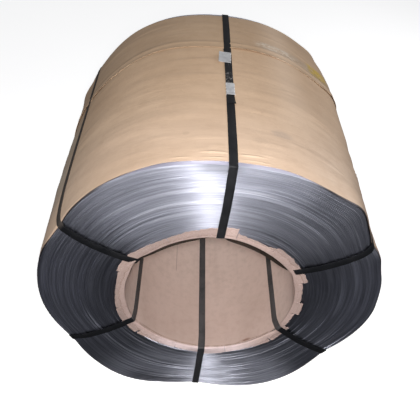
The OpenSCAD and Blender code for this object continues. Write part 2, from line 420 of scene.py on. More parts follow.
def paper_material(name, rear):
    m = Nodes(name)
    a, y, r, _, _ = m.angle()
    arc = m.math("MULTIPLY", a, math.radians(1) * 0.396)      # metres round the coil
    flat = m.join(arc, y, 0.0)
    cloud = m.noise(m.object_xyz(), 4.5, 4.0, 0.55)
    mottle = m.noise(m.object_xyz(), 38.0, 4.0, 0.6)
    fibre = m.noise(m.join(m.math("MULTIPLY", arc, 160.0), m.math("MULTIPLY", y, 900.0), 0.0), 1.0, 3.0, 0.65)
    streak = m.noise(m.join(m.math("MULTIPLY", arc, 7.0), m.math("MULTIPLY", y, 75.0), 0.0), 1.0, 3.0, 0.55)
    base = m.ramp(cloud, [(0.30, (0.525, 0.376, 0.267)), (0.52, (0.60, 0.438, 0.317)), (0.72, (0.65, 0.484, 0.357))])
    base = m.mix(m.range(mottle, 0.40, 0.70, 0.0, 0.22), base, (0.46, 0.315, 0.215))
    base = m.mix(m.range(fibre, 0.50, 0.80, 0.0, 0.22), base, (0.70, 0.53, 0.39))
    base = m.mix(m.range(streak, 0.55, 0.78, 0.0, 0.16), base, (0.43, 0.295, 0.20))
    if not rear:
        for ta, ty, ra, ry, col, amount in ((76.0, -0.217, 3.4, 0.016, (0.42, 0.33, 0.27), 0.5),
                                            (83.0, -0.255, 2.2, 0.012, (0.50, 0.37, 0.27), 0.35),
                                            (118.0, -0.10, 2.6, 0.020, (0.46, 0.32, 0.22), 0.25),
                                            (64.0, 0.03, 3.0, 0.018, (0.50, 0.38, 0.28), 0.3),
                                            (104.0, -0.245, 1.2, 0.006, (0.40, 0.28, 0.19), 0.35)):
            du = m.math("DIVIDE", m.math("SUBTRACT", a, ta), ra)
            dv = m.math("DIVIDE", m.math("SUBTRACT", y, ty), ry)
            d = m.math("SQRT", m.math("ADD", m.math("MULTIPLY", du, du), m.math("MULTIPLY", dv, dv)))
            d = m.math("ADD", d, m.math("MULTIPLY", m.math("SUBTRACT", mottle, 0.5), 1.6))
            base = m.mix(m.range(d, 0.35, 1.15, amount, 0.0), base, col)
        # painted shade: the paper's front edge is darkened on the left and right sides, where it meets the wire
        painted_shade_sides = m.math("ADD", m.band(a, 119.0, 172.0, 3.0), m.band(a, 20.0, 64.0, 3.0))
        cut = m.math("MULTIPLY", m.range(m.split(m.uv())[1], 0.0006, 0.0028, 0.85, 0.0), painted_shade_sides)
        base = m.mix(cut, base, (0.12, 0.085, 0.072))
        # painted sheen: a greyer tint on the paper outside the upper left strap
        painted_sheen_upper_left = m.math("MULTIPLY", m.math("MULTIPLY", m.range(a, 151.0, 154.0, 0.0, 1.0), m.range(a, 158.0, 178.0, 1.0, 0.0)),
                        m.math("MULTIPLY", m.range(y, -0.32, -0.12, 0.0, 1.0), m.range(y, 0.02, 0.13, 1.0, 0.0)))
        painted_sheen_upper_left = m.math("MULTIPLY", painted_sheen_upper_left, m.range(cloud, 0.35, 0.65, 0.6, 1.0))
        base = m.vec("MULTIPLY", base, m.ramp(painted_sheen_upper_left, [(0.0, (1.0, 1.0, 1.0)), (1.0, (0.80, 0.90, 0.98))]))
        rough = m.range(mottle, 0.3, 0.7, 0.46, 0.62)
    else:
        base = m.mix(0.32, base, (0.40, 0.30, 0.215))
        # crumpled clear tape over the lap, on the upper right; its glints are painted highlights
        tape = m.math("MULTIPLY", m.band(a, 46.0, 78.0, 2.0), m.band(y, 0.156, 0.204, 0.004))
        crumple = m.noise(m.join(m.math("MULTIPLY", arc, 55.0), m.math("MULTIPLY", y, 150.0), 0.0), 1.0, 5.0, 0.7, 0.8)
        painted_tape_glint = m.math("MULTIPLY", tape, m.range(crumple, 0.53, 0.66, 0.0, 1.0))
        white = m.math("MULTIPLY", m.math("MULTIPLY", m.band(a, 64.0, 79.0, 2.5), m.band(y, 0.170, 0.200, 0.006)),
                       m.range(crumple, 0.44, 0.58, 0.0, 1.0))
        base = m.mix(m.math("MULTIPLY", tape, 0.20), base, (0.44, 0.38, 0.33))
        base = m.mix(m.math("MULTIPLY", painted_tape_glint, 0.45), base, (0.80, 0.76, 0.72))
        base = m.mix(m.math("MULTIPLY", white, 0.55), base, (0.84, 0.82, 0.80))
        yellow = m.math("MULTIPLY", m.math("MULTIPLY", m.band(a, 46.5, 56.0, 1.6), m.band(y, 0.168, 0.220, 0.008)),
                        m.range(crumple, 0.36, 0.56, 0.0, 1.0))
        base = m.mix(m.math("MULTIPLY", yellow, 0.95), base, (0.60, 0.43, 0.04))
        rough = m.math("SUBTRACT", m.range(mottle, 0.3, 0.7, 0.46, 0.62), m.math("MULTIPLY", tape, 0.22))
    # painted light: the paper is tinted warmer and more saturated towards the far end, standing in for the paler,
    # brighter lit near end
    base = m.vec("MULTIPLY", base, m.ramp(m.range(y, -0.24, 0.10, 0.0, 1.0, False), [(0.0, (1.0, 1.0, 1.0)), (0.4, (1.0, 0.97, 0.91)), (1.0, (1.0, 0.945, 0.845))]))
    # painted sheen: a lighter band of paper on the right side, at 65 to 75 degrees
    pale = m.math("MULTIPLY", m.band(a, 65.0, 75.0, 6.0), m.range(y, -0.24, -0.06, 0.0, 0.34))
    base = m.mix(pale, base, (0.86, 0.68, 0.53))
    wrinkle = m.noise(m.join(m.math("MULTIPLY", arc, 9.0), m.math("MULTIPLY", y, 48.0), 0.0), 1.0, 4.0, 0.6, 0.6)
    crease = m.voronoi(m.join(m.math("MULTIPLY", arc, 14.0), m.math("MULTIPLY", y, 30.0), mottle), 1.0, "DISTANCE_TO_EDGE")
    n1 = m.bump(wrinkle, 0.35, 0.0022)
    n2 = m.bump(m.range(crease, 0.0, 0.06, 0.0, 1.0), 0.12, 0.0006, n1)
    n3 = m.bump(fibre, 0.18, 0.0003, n2)
    m.set(Base_Color=base, Roughness=rough, Normal=n3)
    m.bsdf.inputs["Specular IOR Level"].default_value = 0.42
    return m.mat


def board_material(name, torn):
    m = Nodes(name)
    a, y, r, _, _ = m.angle()
    arc = m.math("MULTIPLY", a, math.radians(1) * 0.203)
    cloud = m.noise(m.object_xyz(), 7.0, 4.0, 0.55)
    mottle = m.noise(m.object_xyz(), 60.0, 4.0, 0.6)
    speck = m.noise(m.object_xyz(), 420.0, 2.0, 0.6)
    if torn:
        base = m.ramp(cloud, [(0.30, (0.45, 0.345, 0.285)), (0.52, (0.55, 0.425, 0.355)), (0.72, (0.62, 0.49, 0.42))])
        radial = m.noise(m.join(m.math("MULTIPLY", arc, 110.0), m.math("MULTIPLY", r, 30.0), 0.0), 1.0, 3.0, 0.6)
        base = m.mix(m.range(radial, 0.52, 0.75, 0.0, 0.35), base, (0.36, 0.255, 0.20))
        ring = m.noise(m.join(m.math("MULTIPLY", arc, 16.0), m.math("MULTIPLY", r, 260.0), 0.0), 1.0, 3.0, 0.6)
        base = m.mix(m.range(ring, 0.55, 0.76, 0.0, 0.35), base, (0.33, 0.23, 0.18))
        # the ply that tore off short leaves a ragged line round the tabs
        ply = m.noise(m.join(m.math("MULTIPLY", arc, 42.0), 0.0, 0.0), 1.0, 4.0, 0.65)
        step_r = m.math("SUBTRACT", r, m.math("MULTIPLY", ply, 0.022))
        base = m.mix(m.math("MULTIPLY", m.band(step_r, 0.2012, 0.2026, 0.0006), m.range(radial, 0.36, 0.56, 0.25, 0.8)), base, (0.26, 0.175, 0.135))
        base = m.mix(m.range(step_r, 0.2026, 0.2034, 0.0, 0.45), base, (0.47, 0.385, 0.33))
        base = m.mix(m.range(step_r, 0.2006, 0.2012, 0.32, 0.0), base, (0.72, 0.585, 0.51))
        flecks = m.noise(m.object_xyz(), 330.0, 5.0, 0.7)
        base = m.mix(m.range(flecks, 0.52, 0.68, 0.0, 0.55), base, (0.80, 0.70, 0.63))
        base = m.mix(m.range(flecks, 0.44, 0.34, 0.0, 0.45), base, (0.27, 0.19, 0.15))
        # painted light and shade: the tabs are darkened all round but at the bottom and lightened at the bottom,
        # standing in for how the light falls on them; they are also lighter in a band at the upper right
        up = m.math("SINE", m.math("MULTIPLY", a, math.radians(1)))
        base = m.mix(m.range(up, -0.80, -0.30, 0.0, 0.30), base, (0.24, 0.18, 0.15))
        base = m.mix(m.range(up, -0.70, -0.95, 0.0, 0.80), base, (0.86, 0.75, 0.71))
        pale = m.math("ADD", 0.87, m.math("MULTIPLY", m.band(a, 60.0, 90.0, 4.0), 0.24))
        base = m.vec("MULTIPLY", base, m.join(m.math("MULTIPLY", pale, 1.04), m.math("MULTIPLY", pale, 0.965), m.math("MULTIPLY", pale, 1.02)))
        grain = m.noise(m.object_xyz(), 260.0, 4.0, 0.65)
        n1 = m.bump(m.math("ADD", m.math("MULTIPLY", ring, 0.6), m.math("MULTIPLY", radial, 0.4)), 0.4, 0.0012)
        n2 = m.bump(grain, 0.3, 0.0006, n1)
    else:
        base = m.ramp(cloud, [(0.30, (0.455, 0.335, 0.285)), (0.52, (0.505, 0.375, 0.325)), (0.72, (0.54, 0.405, 0.355))])
        base = m.mix(m.range(y, -0.33, 0.05, 0.0, 0.60), base, (0.84, 0.675, 0.60))    # painted light: lighter deep inside the bore
        lane = m.noise(m.join(m.math("MULTIPLY", arc, 34.0), m.math("MULTIPLY", y, 2.2), 0.0), 1.0, 3.0, 0.55)
        base = m.mix(m.range(lane, 0.45, 0.70, 0.0, 0.16), base, (0.39, 0.285, 0.24))
        # the board's lengthwise joint, a painted shadow line by the folded end, and a scrape
        joint = m.math("MULTIPLY", m.band(a, -113.2, -112.6, 0.12), m.math("MULTIPLY", m.range(y, -0.108, -0.094, 0.0, 0.60), m.range(y, -0.03, -0.01, 1.0, 0.55)))
        base = m.mix(joint, base, (0.27, 0.19, 0.16))
        wander = m.math("ADD", y, m.math("MULTIPLY", m.math("SUBTRACT", cloud, 0.5), 0.012))
        # painted shadow: a dark line just behind the folded end
        fold = m.math("MULTIPLY", m.band(wander, -0.3345, -0.3320, 0.0007), m.range(mottle, 0.38, 0.60, 0.15, 0.7))
        base = m.mix(fold, base, (0.24, 0.16, 0.125))
        scrape = m.math("MULTIPLY", m.band(a, -62.5, -54.5, 2.0), m.band(wander, -0.3345, -0.3285, 0.0016))
        base = m.mix(m.math("MULTIPLY", scrape, m.range(mottle, 0.40, 0.58, 0.1, 0.8)), base, (0.22, 0.11, 0.08))
        n1 = m.bump(lane, 0.2, 0.0010)
        n2 = m.bump(speck, 0.12, 0.0003, n1)
        # painted light: the board is lighter on the left and right walls of the bore
        side = m.math("ABSOLUTE", m.math("COSINE", m.math("MULTIPLY", a, math.radians(1))))
        base = m.mix(m.range(side, 0.78, 0.96, 0.0, 0.45), base, (0.74, 0.60, 0.54))
    base = m.mix(m.range(mottle, 0.42, 0.72, 0.0, 0.22), base, (0.37, 0.27, 0.22))
    base = m.mix(m.range(speck, 0.62, 0.80, 0.0, 0.35), base, (0.30, 0.22, 0.18))
    m.set(Base_Color=base, Roughness=m.range(mottle, 0.3, 0.7, 0.78, 0.92), Normal=n2)
    m.bsdf.inputs["Specular IOR Level"].default_value = 0.25
    return m.mat


def strap_material(name, scuffed, painted_sheen=0.0):
    m = Nodes(name)
    u, v, _ = m.split(m.uv())
    p = m.math("MULTIPLY", m.math("ADD", u, v), 2 * math.pi / 0.0034)
    q = m.math("MULTIPLY", m.math("SUBTRACT", u, v), 2 * math.pi / 0.0034)
    waffle = m.math("MULTIPLY", m.math("SINE", p), m.math("SINE", q))
    dust = m.noise(m.object_xyz(), 26.0, 5.0, 0.65)
    grit = m.noise(m.object_xyz(), 340.0, 3.0, 0.7)
    _, y, r, _, _ = m.angle()
    base = m.ramp(dust, [(0.32, (0.004, 0.0044, 0.0056)), (0.55, (0.007, 0.0074, 0.009)), (0.75, (0.014, 0.014, 0.015))])
    base = m.mix(m.range(grit, 0.60, 0.78, 0.0, 0.22), base, (0.055, 0.05, 0.046))
    # painted sheen: the strap is lightened towards grey, most on the bottom strap, standing in for the light it
    # reflects
    base = m.mix(m.range(dust, 0.25, 0.6, painted_sheen * 0.6, painted_sheen), base, (0.075, 0.074, 0.080))
    # the run along the upper left is made lighter
    a = m.angle()[0]
    lighter_upper_left_run = m.math("MULTIPLY", m.band(a, 142.0, 158.0, 2.0), m.range(r, 0.380, 0.390, 0.0, 0.55))
    base = m.mix(lighter_upper_left_run, base, (0.085, 0.070, 0.060))
    # board dust on the run inside the bore
    inside = m.range(r, 0.2034, 0.2046, 1.0, 0.0)
    base = m.mix(m.math("MULTIPLY", inside, m.range(dust, 0.3, 0.7, 0.35, 0.75)), base, (0.098, 0.091, 0.091))
    if scuffed:
        z1 = m.band(y, -0.054, -0.002, 0.002)
        hatch = m.noise(m.join(m.math("MULTIPLY", m.math("ADD", u, m.math("MULTIPLY", v, 0.8)), 330.0),
                               m.math("MULTIPLY", v, 120.0), 0.0), 1.0, 3.0, 0.6, 0.4)
        base = m.mix(m.math("MULTIPLY", z1, m.range(hatch, 0.54, 0.64, 0.0, 0.7)), base, (0.42, 0.40, 0.40))
    m.set(Base_Color=base, Roughness=m.range(dust, 0.3, 0.7, 0.46, 0.64),
          Normal=m.bump(m.math("ADD", m.math("MULTIPLY", waffle, 0.5), m.math("MULTIPLY", grit, 0.4)), 0.35, 0.0004))
    m.bsdf.inputs["Specular IOR Level"].default_value = 0.2
    return m.mat


def seal_material():
    m = Nodes("zinc_plated_seal")
    p = m.object_xyz()
    spangle = m.voronoi(p, 190.0)
    smear = m.noise(p, 70.0, 4.0, 0.6)
    base = m.ramp(smear, [(0.3, (0.60, 0.60, 0.615)), (0.55, (0.76, 0.76, 0.775)), (0.75, (0.85, 0.85, 0.86))])
    base = m.mix(m.range(spangle, 0.3, 0.7, 0.0, 0.25), base, (0.52, 0.53, 0.56))
    dirt = m.noise(p, 210.0, 3.0, 0.7)
    base = m.mix(m.range(dirt, 0.60, 0.75, 0.0, 0.4), base, (0.26, 0.24, 0.22))
    m.set(Base_Color=base, Metallic=0.5, Roughness=m.range(smear, 0.3, 0.7, 0.34, 0.55),
          Normal=m.bump(smear, 0.2, 0.0005))
    return m.mat


STEEL = steel_material()
KRAFT_FRONT = paper_material("kraft_paper_front", False)
KRAFT_REAR = paper_material("kraft_paper_rear", True)
BOARD = board_material("liner_board", False)
BOARD_TORN = board_material("liner_board_torn", True)


# painted shade: the liner's outside, seen only in the gap at the near mouth, is made near black to stand for the shadow
# there
def painted_shade_board_material():
    m = Nodes("liner_board_back_painted_shade")
    shade_noise = m.noise(m.object_xyz(), 45.0, 4.0, 0.6)
    m.set(Base_Color=m.ramp(shade_noise, [(0.3, (0.020, 0.014, 0.011)), (0.7, (0.050, 0.036, 0.028))]), Roughness=0.9)
    m.bsdf.inputs["Specular IOR Level"].default_value = 0.15
    return m.mat


BOARD_BACK_PAINTED_SHADE = painted_shade_board_material()
STRAP = strap_material("black_strap", False)
STRAP_SCUFFED = strap_material("black_strap_scuffed", True, 0.12)
STRAP_PAINTED_SHEEN = strap_material("black_strap_painted_sheen", False, 0.42)
ZINC = seal_material()

# --------------------------------------------------------------- wire coil
LAYERS = 76


def linked_noise(rng, count, keep, size):
    """A random walk that stays near zero, for things that vary from turn to turn."""
    out = np.zeros((count, size))
    x = rng.normal(size=size)
    for i in range(count):
        x = keep * x + math.sqrt(1 - keep * keep) * rng.normal(size=size)
        out[i] = x
    return out


def turn_radius(s, theta):
    """Radius of a turn at share s of the build-up: round by the bore, lobed at the rim."""
    mean = 391.0
    return WIRE_R + (mean - WIRE_R) * s + (outline(theta) - mean) * s ** 2.3


def end_rings(seed, seg, part):
    """Rings from bore to rim across one end: (share, radius, recess) with every turn's own set-back. part is how
    much of the rim's uneven shape this end has."""
    rng = np.random.default_rng(seed)
    theta = np.arange(seg) * 360.0 / seg - 90.5
    t = np.radians(theta)
    group = linked_noise(rng, LAYERS, 0.80, 1)[:, 0] * 0.55
    lone = rng.normal(size=LAYERS) * 0.20
    swing = np.zeros((LAYERS, seg))
    for k in range(1, 6):
        c = linked_noise(rng, LAYERS, 0.72, 2) * 0.26 / math.sqrt(k)
        swing += c[:, :1] * np.cos(k * t) + c[:, 1:] * np.sin(k * t)
    set_back = np.clip(0.65 + group[:, None] + lone[:, None] + swing, 0.0, 4.0)
    set_back *= np.interp(np.arange(LAYERS), [LAYERS - 7, LAYERS - 1], [1.0, 0.1])[:, None]     # the outer turns lie flush
    tilt = (linked_noise(rng, LAYERS, 0.3, 1) * 0.055
            + linked_noise(rng, LAYERS, 0.4, 1) * 0.05 * np.cos(2 * t)[None, :]
            + linked_noise(rng, LAYERS, 0.4, 1) * 0.05 * np.sin(3 * t)[None, :])
    edges = np.linspace(0, 1, LAYERS + 1)
    edges[1:-1] += rng.uniform(-0.1, 0.1, LAYERS - 1) / LAYERS
    rings = []
    for k in range(LAYERS):
        w = edges[k + 1] - edges[k]
        before = set_back[k - 1] if k else set_back[0]
        rings.append((edges[k], np.maximum(before, set_back[k]) + 0.40))
        rings.append((edges[k] + 0.17 * w, set_back[k] - tilt[k]))
        rings.append((edges[k + 1] - 0.17 * w, set_back[k] + tilt[k]))
    rings.append((1.0, set_back[-1] + 0.15))
    out = []
    rad = edge_radius(theta)
    for s, back in rings:
        pull = part * around(END_SHAPE, theta, 1.0)
        r = turn_radius(s, theta) + pull * s ** 4
        r = above_floor(r, theta)
        rim = above_floor(turn_radius(1.0, theta) + pull, theta)
        crush = np.clip(-11.0 * np.log(np.clip((r - 205.0) / np.maximum(flare(theta) + 0.3, 0.3), 1e-3, 1.0)), 0, 18.0) if part == 1.0 else 0.0
        out.append((s, theta, r, np.maximum(np.minimum(back + corner_drop(rim - r, rad), 12.0), crush)))
    return out


def wire_coil():
    seg = 200
    front, back = end_rings(11, seg, 1.0), end_rings(23, seg, 0.5)
    co, v = [], []
    for s, theta, r, d in front:
        co.append(polar(r, theta, -HALF + d))
        v.append(s)
    for y in [-HALF + d for d in (14, 24, 42, 70, 110, 170, 250)] + [HALF - d for d in (250, 170, 110, 70, 42, 24, 14)]:
        th = front[-1][1]
        co.append(polar(above_floor(outline(th) + end_shape(th, y), th), th, y))
        v.append(1.0 + (y + HALF) / 185.0)
    for s, theta, r, d in reversed(back):
        co.append(polar(r, theta, HALF - d))
        v.append(6.0 - s)
    for y in (HALF - 20.0, -HALF + 20.0):
        co.append(polar(np.full(seg, WIRE_R), front[0][1], y))
        v.append(6.5)
    v.append(7.0)
    sh = Shells()
    swept_uv = [j / seg for j in range(seg + 1)]
    rings = np.array(co)
    m = len(rings)
    faces, uv = [], []
    for i in range(m):
        a, b = i * seg, ((i + 1) % m) * seg
        for j in range(seg):
            k = (j + 1) % seg
            faces.append([a + j, a + k, b + k, b + j])
            uv.append([(swept_uv[j], v[i]), (swept_uv[j + 1], v[i]), (swept_uv[j + 1], v[i + 1]), (swept_uv[j], v[i + 1])])
    sh.add(rings.reshape(-1, 3), faces, uv)
    ob = sh.piece("steel_wire_coil", STEEL, 24.0)
    me = ob.data
    flat = np.zeros(len(me.loops) * 2)
    me.uv_layers["UVMap"].data.foreach_get("uv", flat)
    flat = flat.reshape(-1, 2)
    at = np.zeros(len(me.loops), np.int32)
    me.loops.foreach_get("vertex_index", at)
    co = np.zeros(len(me.vertices) * 3)
    me.vertices.foreach_get("co", co)
    co = co.reshape(-1, 3)[at]
    on_end = np.abs(co[:, 1]) > (HALF - 13.0) * MM
    up = co[:, 2] - AXIS_Z * MM
    low = np.clip((0.07 - up) / 0.32, 0.0, 1.0)
    low = low * low * (3 - 2 * low)
    away = np.hypot(co[:, 0] + 0.0075 * low, up + 0.07 * low) / 0.185
    flat[:, 1] = np.where(on_end, away, flat[:, 1])
    me.uv_layers.new(name="Rings").data.foreach_set("uv", flat.ravel())
    me.uv_layers.active = me.uv_layers["UVMap"]
    return ob


# --------------------------------------------------------------- paper wrap
def ridge(theta, y, tc, yc, half_deg, width, amp, lean=0.0, bow=0.0):
    """One crease that runs round the coil, at angle tc and distance yc, fading at its ends."""
    dt = (theta - tc + 180) % 360 - 180
    line = yc + lean * dt + bow * dt * dt
    return amp * np.exp(-((y - line) / width) ** 2) * np.clip(1 - (dt / half_deg) ** 2, 0, 1) ** 1.5


def paper_field(seed, y_lo, y_hi):
    """Wrinkles of a wrapped sheet: f(theta, y) in mm."""
    rng = np.random.default_rng(seed)
    broad = waves(rng, 10, (1, 5), (90, 260), 0.38)
    mid = waves(rng, 16, (2, 11), (34, 90), 0.20)
    many = []
    for _ in range(46):
        many.append((rng.uniform(0, 360), rng.uniform(y_lo, y_hi), rng.uniform(5, 22), rng.uniform(2.2, 5.0),
                     rng.uniform(0.25, 0.75) * rng.choice([1, 1, -0.6]), rng.uniform(-0.35, 0.35), rng.uniform(-0.012, 0.012)))

    def field(theta, y):
        h = broad(theta, y) + mid(theta, y)
        for c in many:
            h = h + ridge(theta, y, *c)
        return h

    return field


NAMED_CREASES = [
    # beside the top strap by the rim, pulled by the strap
    (84.5, -322.0, 4.2, 2.0, 1.6, 0.3, 0.02), (85.6, -308.0, 4.6, 2.2, 2.0, -0.2, 0.0), (82.0, -301.0, 3.4, 2.0, 1.5, 0.5, 0.0),
    (86.2, -290.0, 3.4, 2.2, 1.5, 0.2, 0.0), (79.0, -285.0, 5.0, 2.6, 1.0, 0.3, 0.0), (96.4, -320.0, 4.0, 2.0, 1.6, -0.3, 0.02),
    (96.0, -305.0, 4.6, 2.2, 2.1, 0.2, 0.0), (99.6, -297.0, 3.6, 2.0, 1.5, -0.4, 0.0), (95.6, -284.0, 3.6, 2.2, 1.7, -0.2, 0.0),
    (105.0, -318.0, 3.6, 1.8, 1.1, 0.1, 0.0), (109.5, -262.0, 4.0, 2.0, -1.0, 0.1, 0.0), (118.0, -292.0, 3.0, 2.0, -0.9, 0.1, 0.0),
    (98.0, -258.0, 7.0, 3.0, 0.9, -0.2, 0.0), (81.0, -262.0, 10.0, 3.0, 0.8, 0.25, 0.0), (114.0, -276.0, 6.0, 2.5, 0.8, 0.1, 0.0),
    # upper right and along the right side
    (70.0, -26.0, 6.0, 3.0, 1.2, -0.9, 0.0), (80.5, -150.0, 5.0, 3.0, 1.0, 0.2, 0.0), (72.0, -240.0, 9.0, 3.6, 0.9, 0.5, 0.0),
    (56.0, -255.0, 9.0, 3.5, 0.9, 0.9, 0.0), (47.0, -190.0, 6.0, 3.4, -2.2, 3.5, 0.0), (44.5, -170.0, 5.0, 3.4, 2.4, 4.5, 0.0), (50.0, -150.0, 4.0, 3.0, -1.8, 3.0, 0.0),
    (60.0, -120.0, 8.0, 3.5, 0.8, 0.6, 0.0),
    # upper left
    (112.0, -248.0, 5.0, 2.5, 0.8, 0.0, 0.0), (124.0, -180.0, 12.0, 4.0, 0.7, -0.4, 0.0), (118.0, -60.0, 10.0, 4.0, 0.6, -0.3, 0.0),
    (104.0, 60.0, 9.0, 3.5, 0.7, -0.2, 0.0),
]


def strap_press(theta, y):
    """How much a strap flattens the paper here, 0 to 1."""
    return np.exp(-(off_station(theta) / 1.9) ** 4)


def sheet_shell(name, mat, theta, y_of, rows, outer, thickness):
    """A closed sheet round the coil. y_of(row share) and outer(theta, y, share) give its outside, in mm."""
    n = len(theta)
    co, v = [], []
    for s in rows:
        y = y_of(s)
        co.append(polar(above_floor(outer(theta, y, s), theta), theta, y))
        v.append(float(s))
    for s in (rows[-1], rows[len(rows) * 3 // 4], rows[len(rows) // 2], rows[len(rows) // 4], rows[12], rows[6], rows[0]):
        y = y_of(s)
        co.append(polar(above_floor(outer(theta, y, s), theta) - thickness, theta, y))
        v.append(float(s))
    rings = np.array(co)
    m = len(rings)
    v.append(v[0])
    faces, uv = [], []
    w = [j / n * 2.46 for j in range(n + 1)]
    for i in range(m):
        a, b = i * n, ((i + 1) % m) * n
        for j in range(n):
            k = (j + 1) % n
            faces.append([a + j, a + k, b + k, b + j])
            uv.append([(w[j], v[i]), (w[j + 1], v[i]), (w[j + 1], v[i + 1]), (w[j], v[i + 1])])
    sh = Shells()
    sh.add(rings.reshape(-1, 3), faces, uv)
    return sh.piece(name, mat, 50.0)


# How far the front sheet's edge stays back from the near end (mm)
PAPER_EDGE = [(91, 12), (84, 11), (76, 8.5), (70, 5.5), (64, 2.6), (58, 1.8), (48, 2.5), (44, 4), (36, 6), (28, 8), (18, 12), (8, 16), (0, 20),
              (-15, 24), (-90, 24), (-165, 24), (176, 22), (168, 12), (160, 5), (155, 4), (150, 5), (143, 5), (135, 3.5), (130, 3.2), (125, 5),
              (118, 9), (110, 11), (100, 12)]


def wrap_front():
    n = 480
    theta = np.arange(n) * 360.0 / n
    rng = np.random.default_rng(5)
    edge = waves(rng, 9, (2, 23), (1e6, 2e6), 0.5)(theta, 0.0)
    field = paper_field(41, -320, 150)
    y_rim = -HALF + around(PAPER_EDGE, theta) + edge
    y_back = 152.0

    def y_of(s):
        return y_rim + (y_back - y_rim) * s

    def outer(theta, y, s):
        depth = y + HALF
        h = field(theta, y)
        for c in NAMED_CREASES:
            h = h + ridge(theta, y, *c)
        h = np.clip(h, -0.55, 2.6)
        h = h * (1 - 0.92 * strap_press(theta, y)) * np.clip((depth - 1.0) / 12.0, 0.15, 1.0)
        h = h * np.clip((150.0 - y) / 26.0, 0.0, 1.0)
        drop = corner_drop(depth, edge_radius(theta))
        return outline(theta) + 0.95 + h - drop + end_shape(theta, y) + bulge(theta, y)

    fine = np.linspace(0, 1, 22)[:-1] * 0.055
    rows = np.concatenate([fine, np.linspace(0.055, 1.0, 92)])
    return sheet_shell("kraft_wrap_front", KRAFT_FRONT, theta, y_of, rows, outer, 0.45)


def wrap_rear():
    n = 480
    theta = np.arange(n) * 360.0 / n
    rng = np.random.default_rng(9)
    edge = waves(rng, 8, (1, 9), (1e6, 2e6), 2.2)(theta, 0.0)
    lift = np.clip(1.3 + waves(rng, 7, (2, 13), (1e6, 2e6), 0.9)(theta, 0.0), 0.3, 3.4)
    field = paper_field(77, 150, 330)
    y_edge = 129.0 + edge
    y_end = HALF - around(PAPER_EDGE, theta) - 1.0 + waves(rng, 9, (2, 23), (1e6, 2e6), 0.5)(theta, 0.0)

    def y_of(s):
        return y_edge + (y_end - y_edge) * s

    def outer(theta, y, s):
        depth = HALF - y
        d = y - y_edge                                  # distance behind the sheet's edge
        press = strap_press(theta, y)
        h = np.clip(field(theta, y), -0.4, 2.2) * np.clip(d / 30.0, 0.0, 1.0)
        h = h + 1.0 * np.exp(-((d - 27.0) / 7.0) ** 2)  # ridge over the front sheet's end
        for c in ((60.0, 176.0, 18.0, 3.0, 1.3, 0.4, 0.0), (72.0, 188.0, 9.0, 3.0, 1.5, 0.3, 0.0),
                  (50.0, 196.0, 7.0, 4.0, 1.4, 0.8, 0.0), (66.0, 166.0, 12.0, 2.5, 1.0, 0.6, 0.0)):
            h = h + ridge(theta, y, *c)
        lap = 1.05 * np.clip((46.0 - d) / 18.0, 0.0, 1.0)
        lip = lift * np.exp(-d / 6.5)
        h = (h + lip) * (1 - 0.9 * press) * np.clip((depth - 1.0) / 14.0, 0.15, 1.0)
        drop = corner_drop(depth, edge_radius(theta))
        return outline(theta) + 0.95 + lap * (1 - 0.55 * press) + h - drop + end_shape(theta, y) + bulge(theta, y)

    rows = np.concatenate([np.linspace(0, 0.16, 18)[:-1], np.linspace(0.16, 0.93, 44)[:-1], np.linspace(0.93, 1.0, 14)])
    return sheet_shell("kraft_wrap_rear", KRAFT_REAR, theta, y_of, rows, outer, 0.75)


# ---------------------------------------------------------------- the liner
MOUTH = [(93, 202.6), (90, 198.5), (86, 192.6), (80, 188.0), (71, 184.2), (65, 182.2), (59, 181.0), (49, 181.3), (42, 184.8), (37, 191.5), (33.5, 196.5),
         (24, 191.5), (11, 190.5), (-8, 190.5), (-21, 193.5), (-27, 198.0), (-31, 200.5), (-47, 199.5), (-68, 202.5), (-90.5, 203.1),
         (-103, 201.5), (-118, 200.0), (-137, 200.0), (-150.5, 203.1), (-158, 202.0), (-166, 200.0), (177, 200.8), (160, 203.0),
         (149.5, 203.2), (142, 198.5), (130, 195.0), (116, 194.6), (106, 196.2), (100, 200.4), (96, 203.1)]
FOLD = [(91, 204.0), (84, 202.4), (78, 200.2), (72, 197.8), (68, 196.2), (60, 194.0), (52, 193.2), (45, 193.2), (38, 194.2), (33.5, 196.0), (24, 191.5), (11, 190.5),
        (-8, 190.5), (-21, 193.5), (-27, 198.0), (-31, 200.5), (-47, 199.5), (-68, 202.5), (-90.5, 203.2), (-103, 201.5), (-118, 200.0),
        (-137, 200.0), (-150.5, 203.2), (-158, 202.0), (-166, 200.0), (177, 200.8), (160, 203.2), (149.5, 204.2), (140, 204.4),
        (130, 204.2), (116, 204.6), (99, 204.6)]


LINER_WOB = waves(np.random.default_rng(31), 9, (2, 7), (150, 420), 0.35)


def liner_inner(theta, y):
    """Radius of the board's inside (mm): it sags at the near mouth, and lies flat under most of the straps."""
    theta = np.mod(np.asarray(theta, float), 360.0)
    held = np.clip((np.where(theta < 91, 3.0, 6.8) - off_station(theta)) / 2.4, 0, 1)
    held = held * (1 - np.exp(-(((theta + 31.0 + 180) % 360 - 180) / 9.0) ** 4))
    mouth = around(MOUTH, theta)
    mouth = mouth + (BORE_R + 0.2 - mouth) * held
    far = BORE_R + 0.2 - 1.2 * (1 - np.exp(-(off_station(theta) / 12.0) ** 2))
    near_w = np.exp(-((y + HALF) / 150.0))
    rest = BORE_R + 0.25 + (LINER_WOB(theta, y) - 0.5) * (1 - held)
    rest = rest + (far - rest) * np.clip((y - 250.0) / 90.0, 0, 1)
    rest = np.minimum(rest + (mouth - (BORE_R + 0.2)) * near_w, WIRE_R - 1.6)
    return rest + flare(theta) * np.exp(-np.maximum(y + HALF, 0) / 11.0)


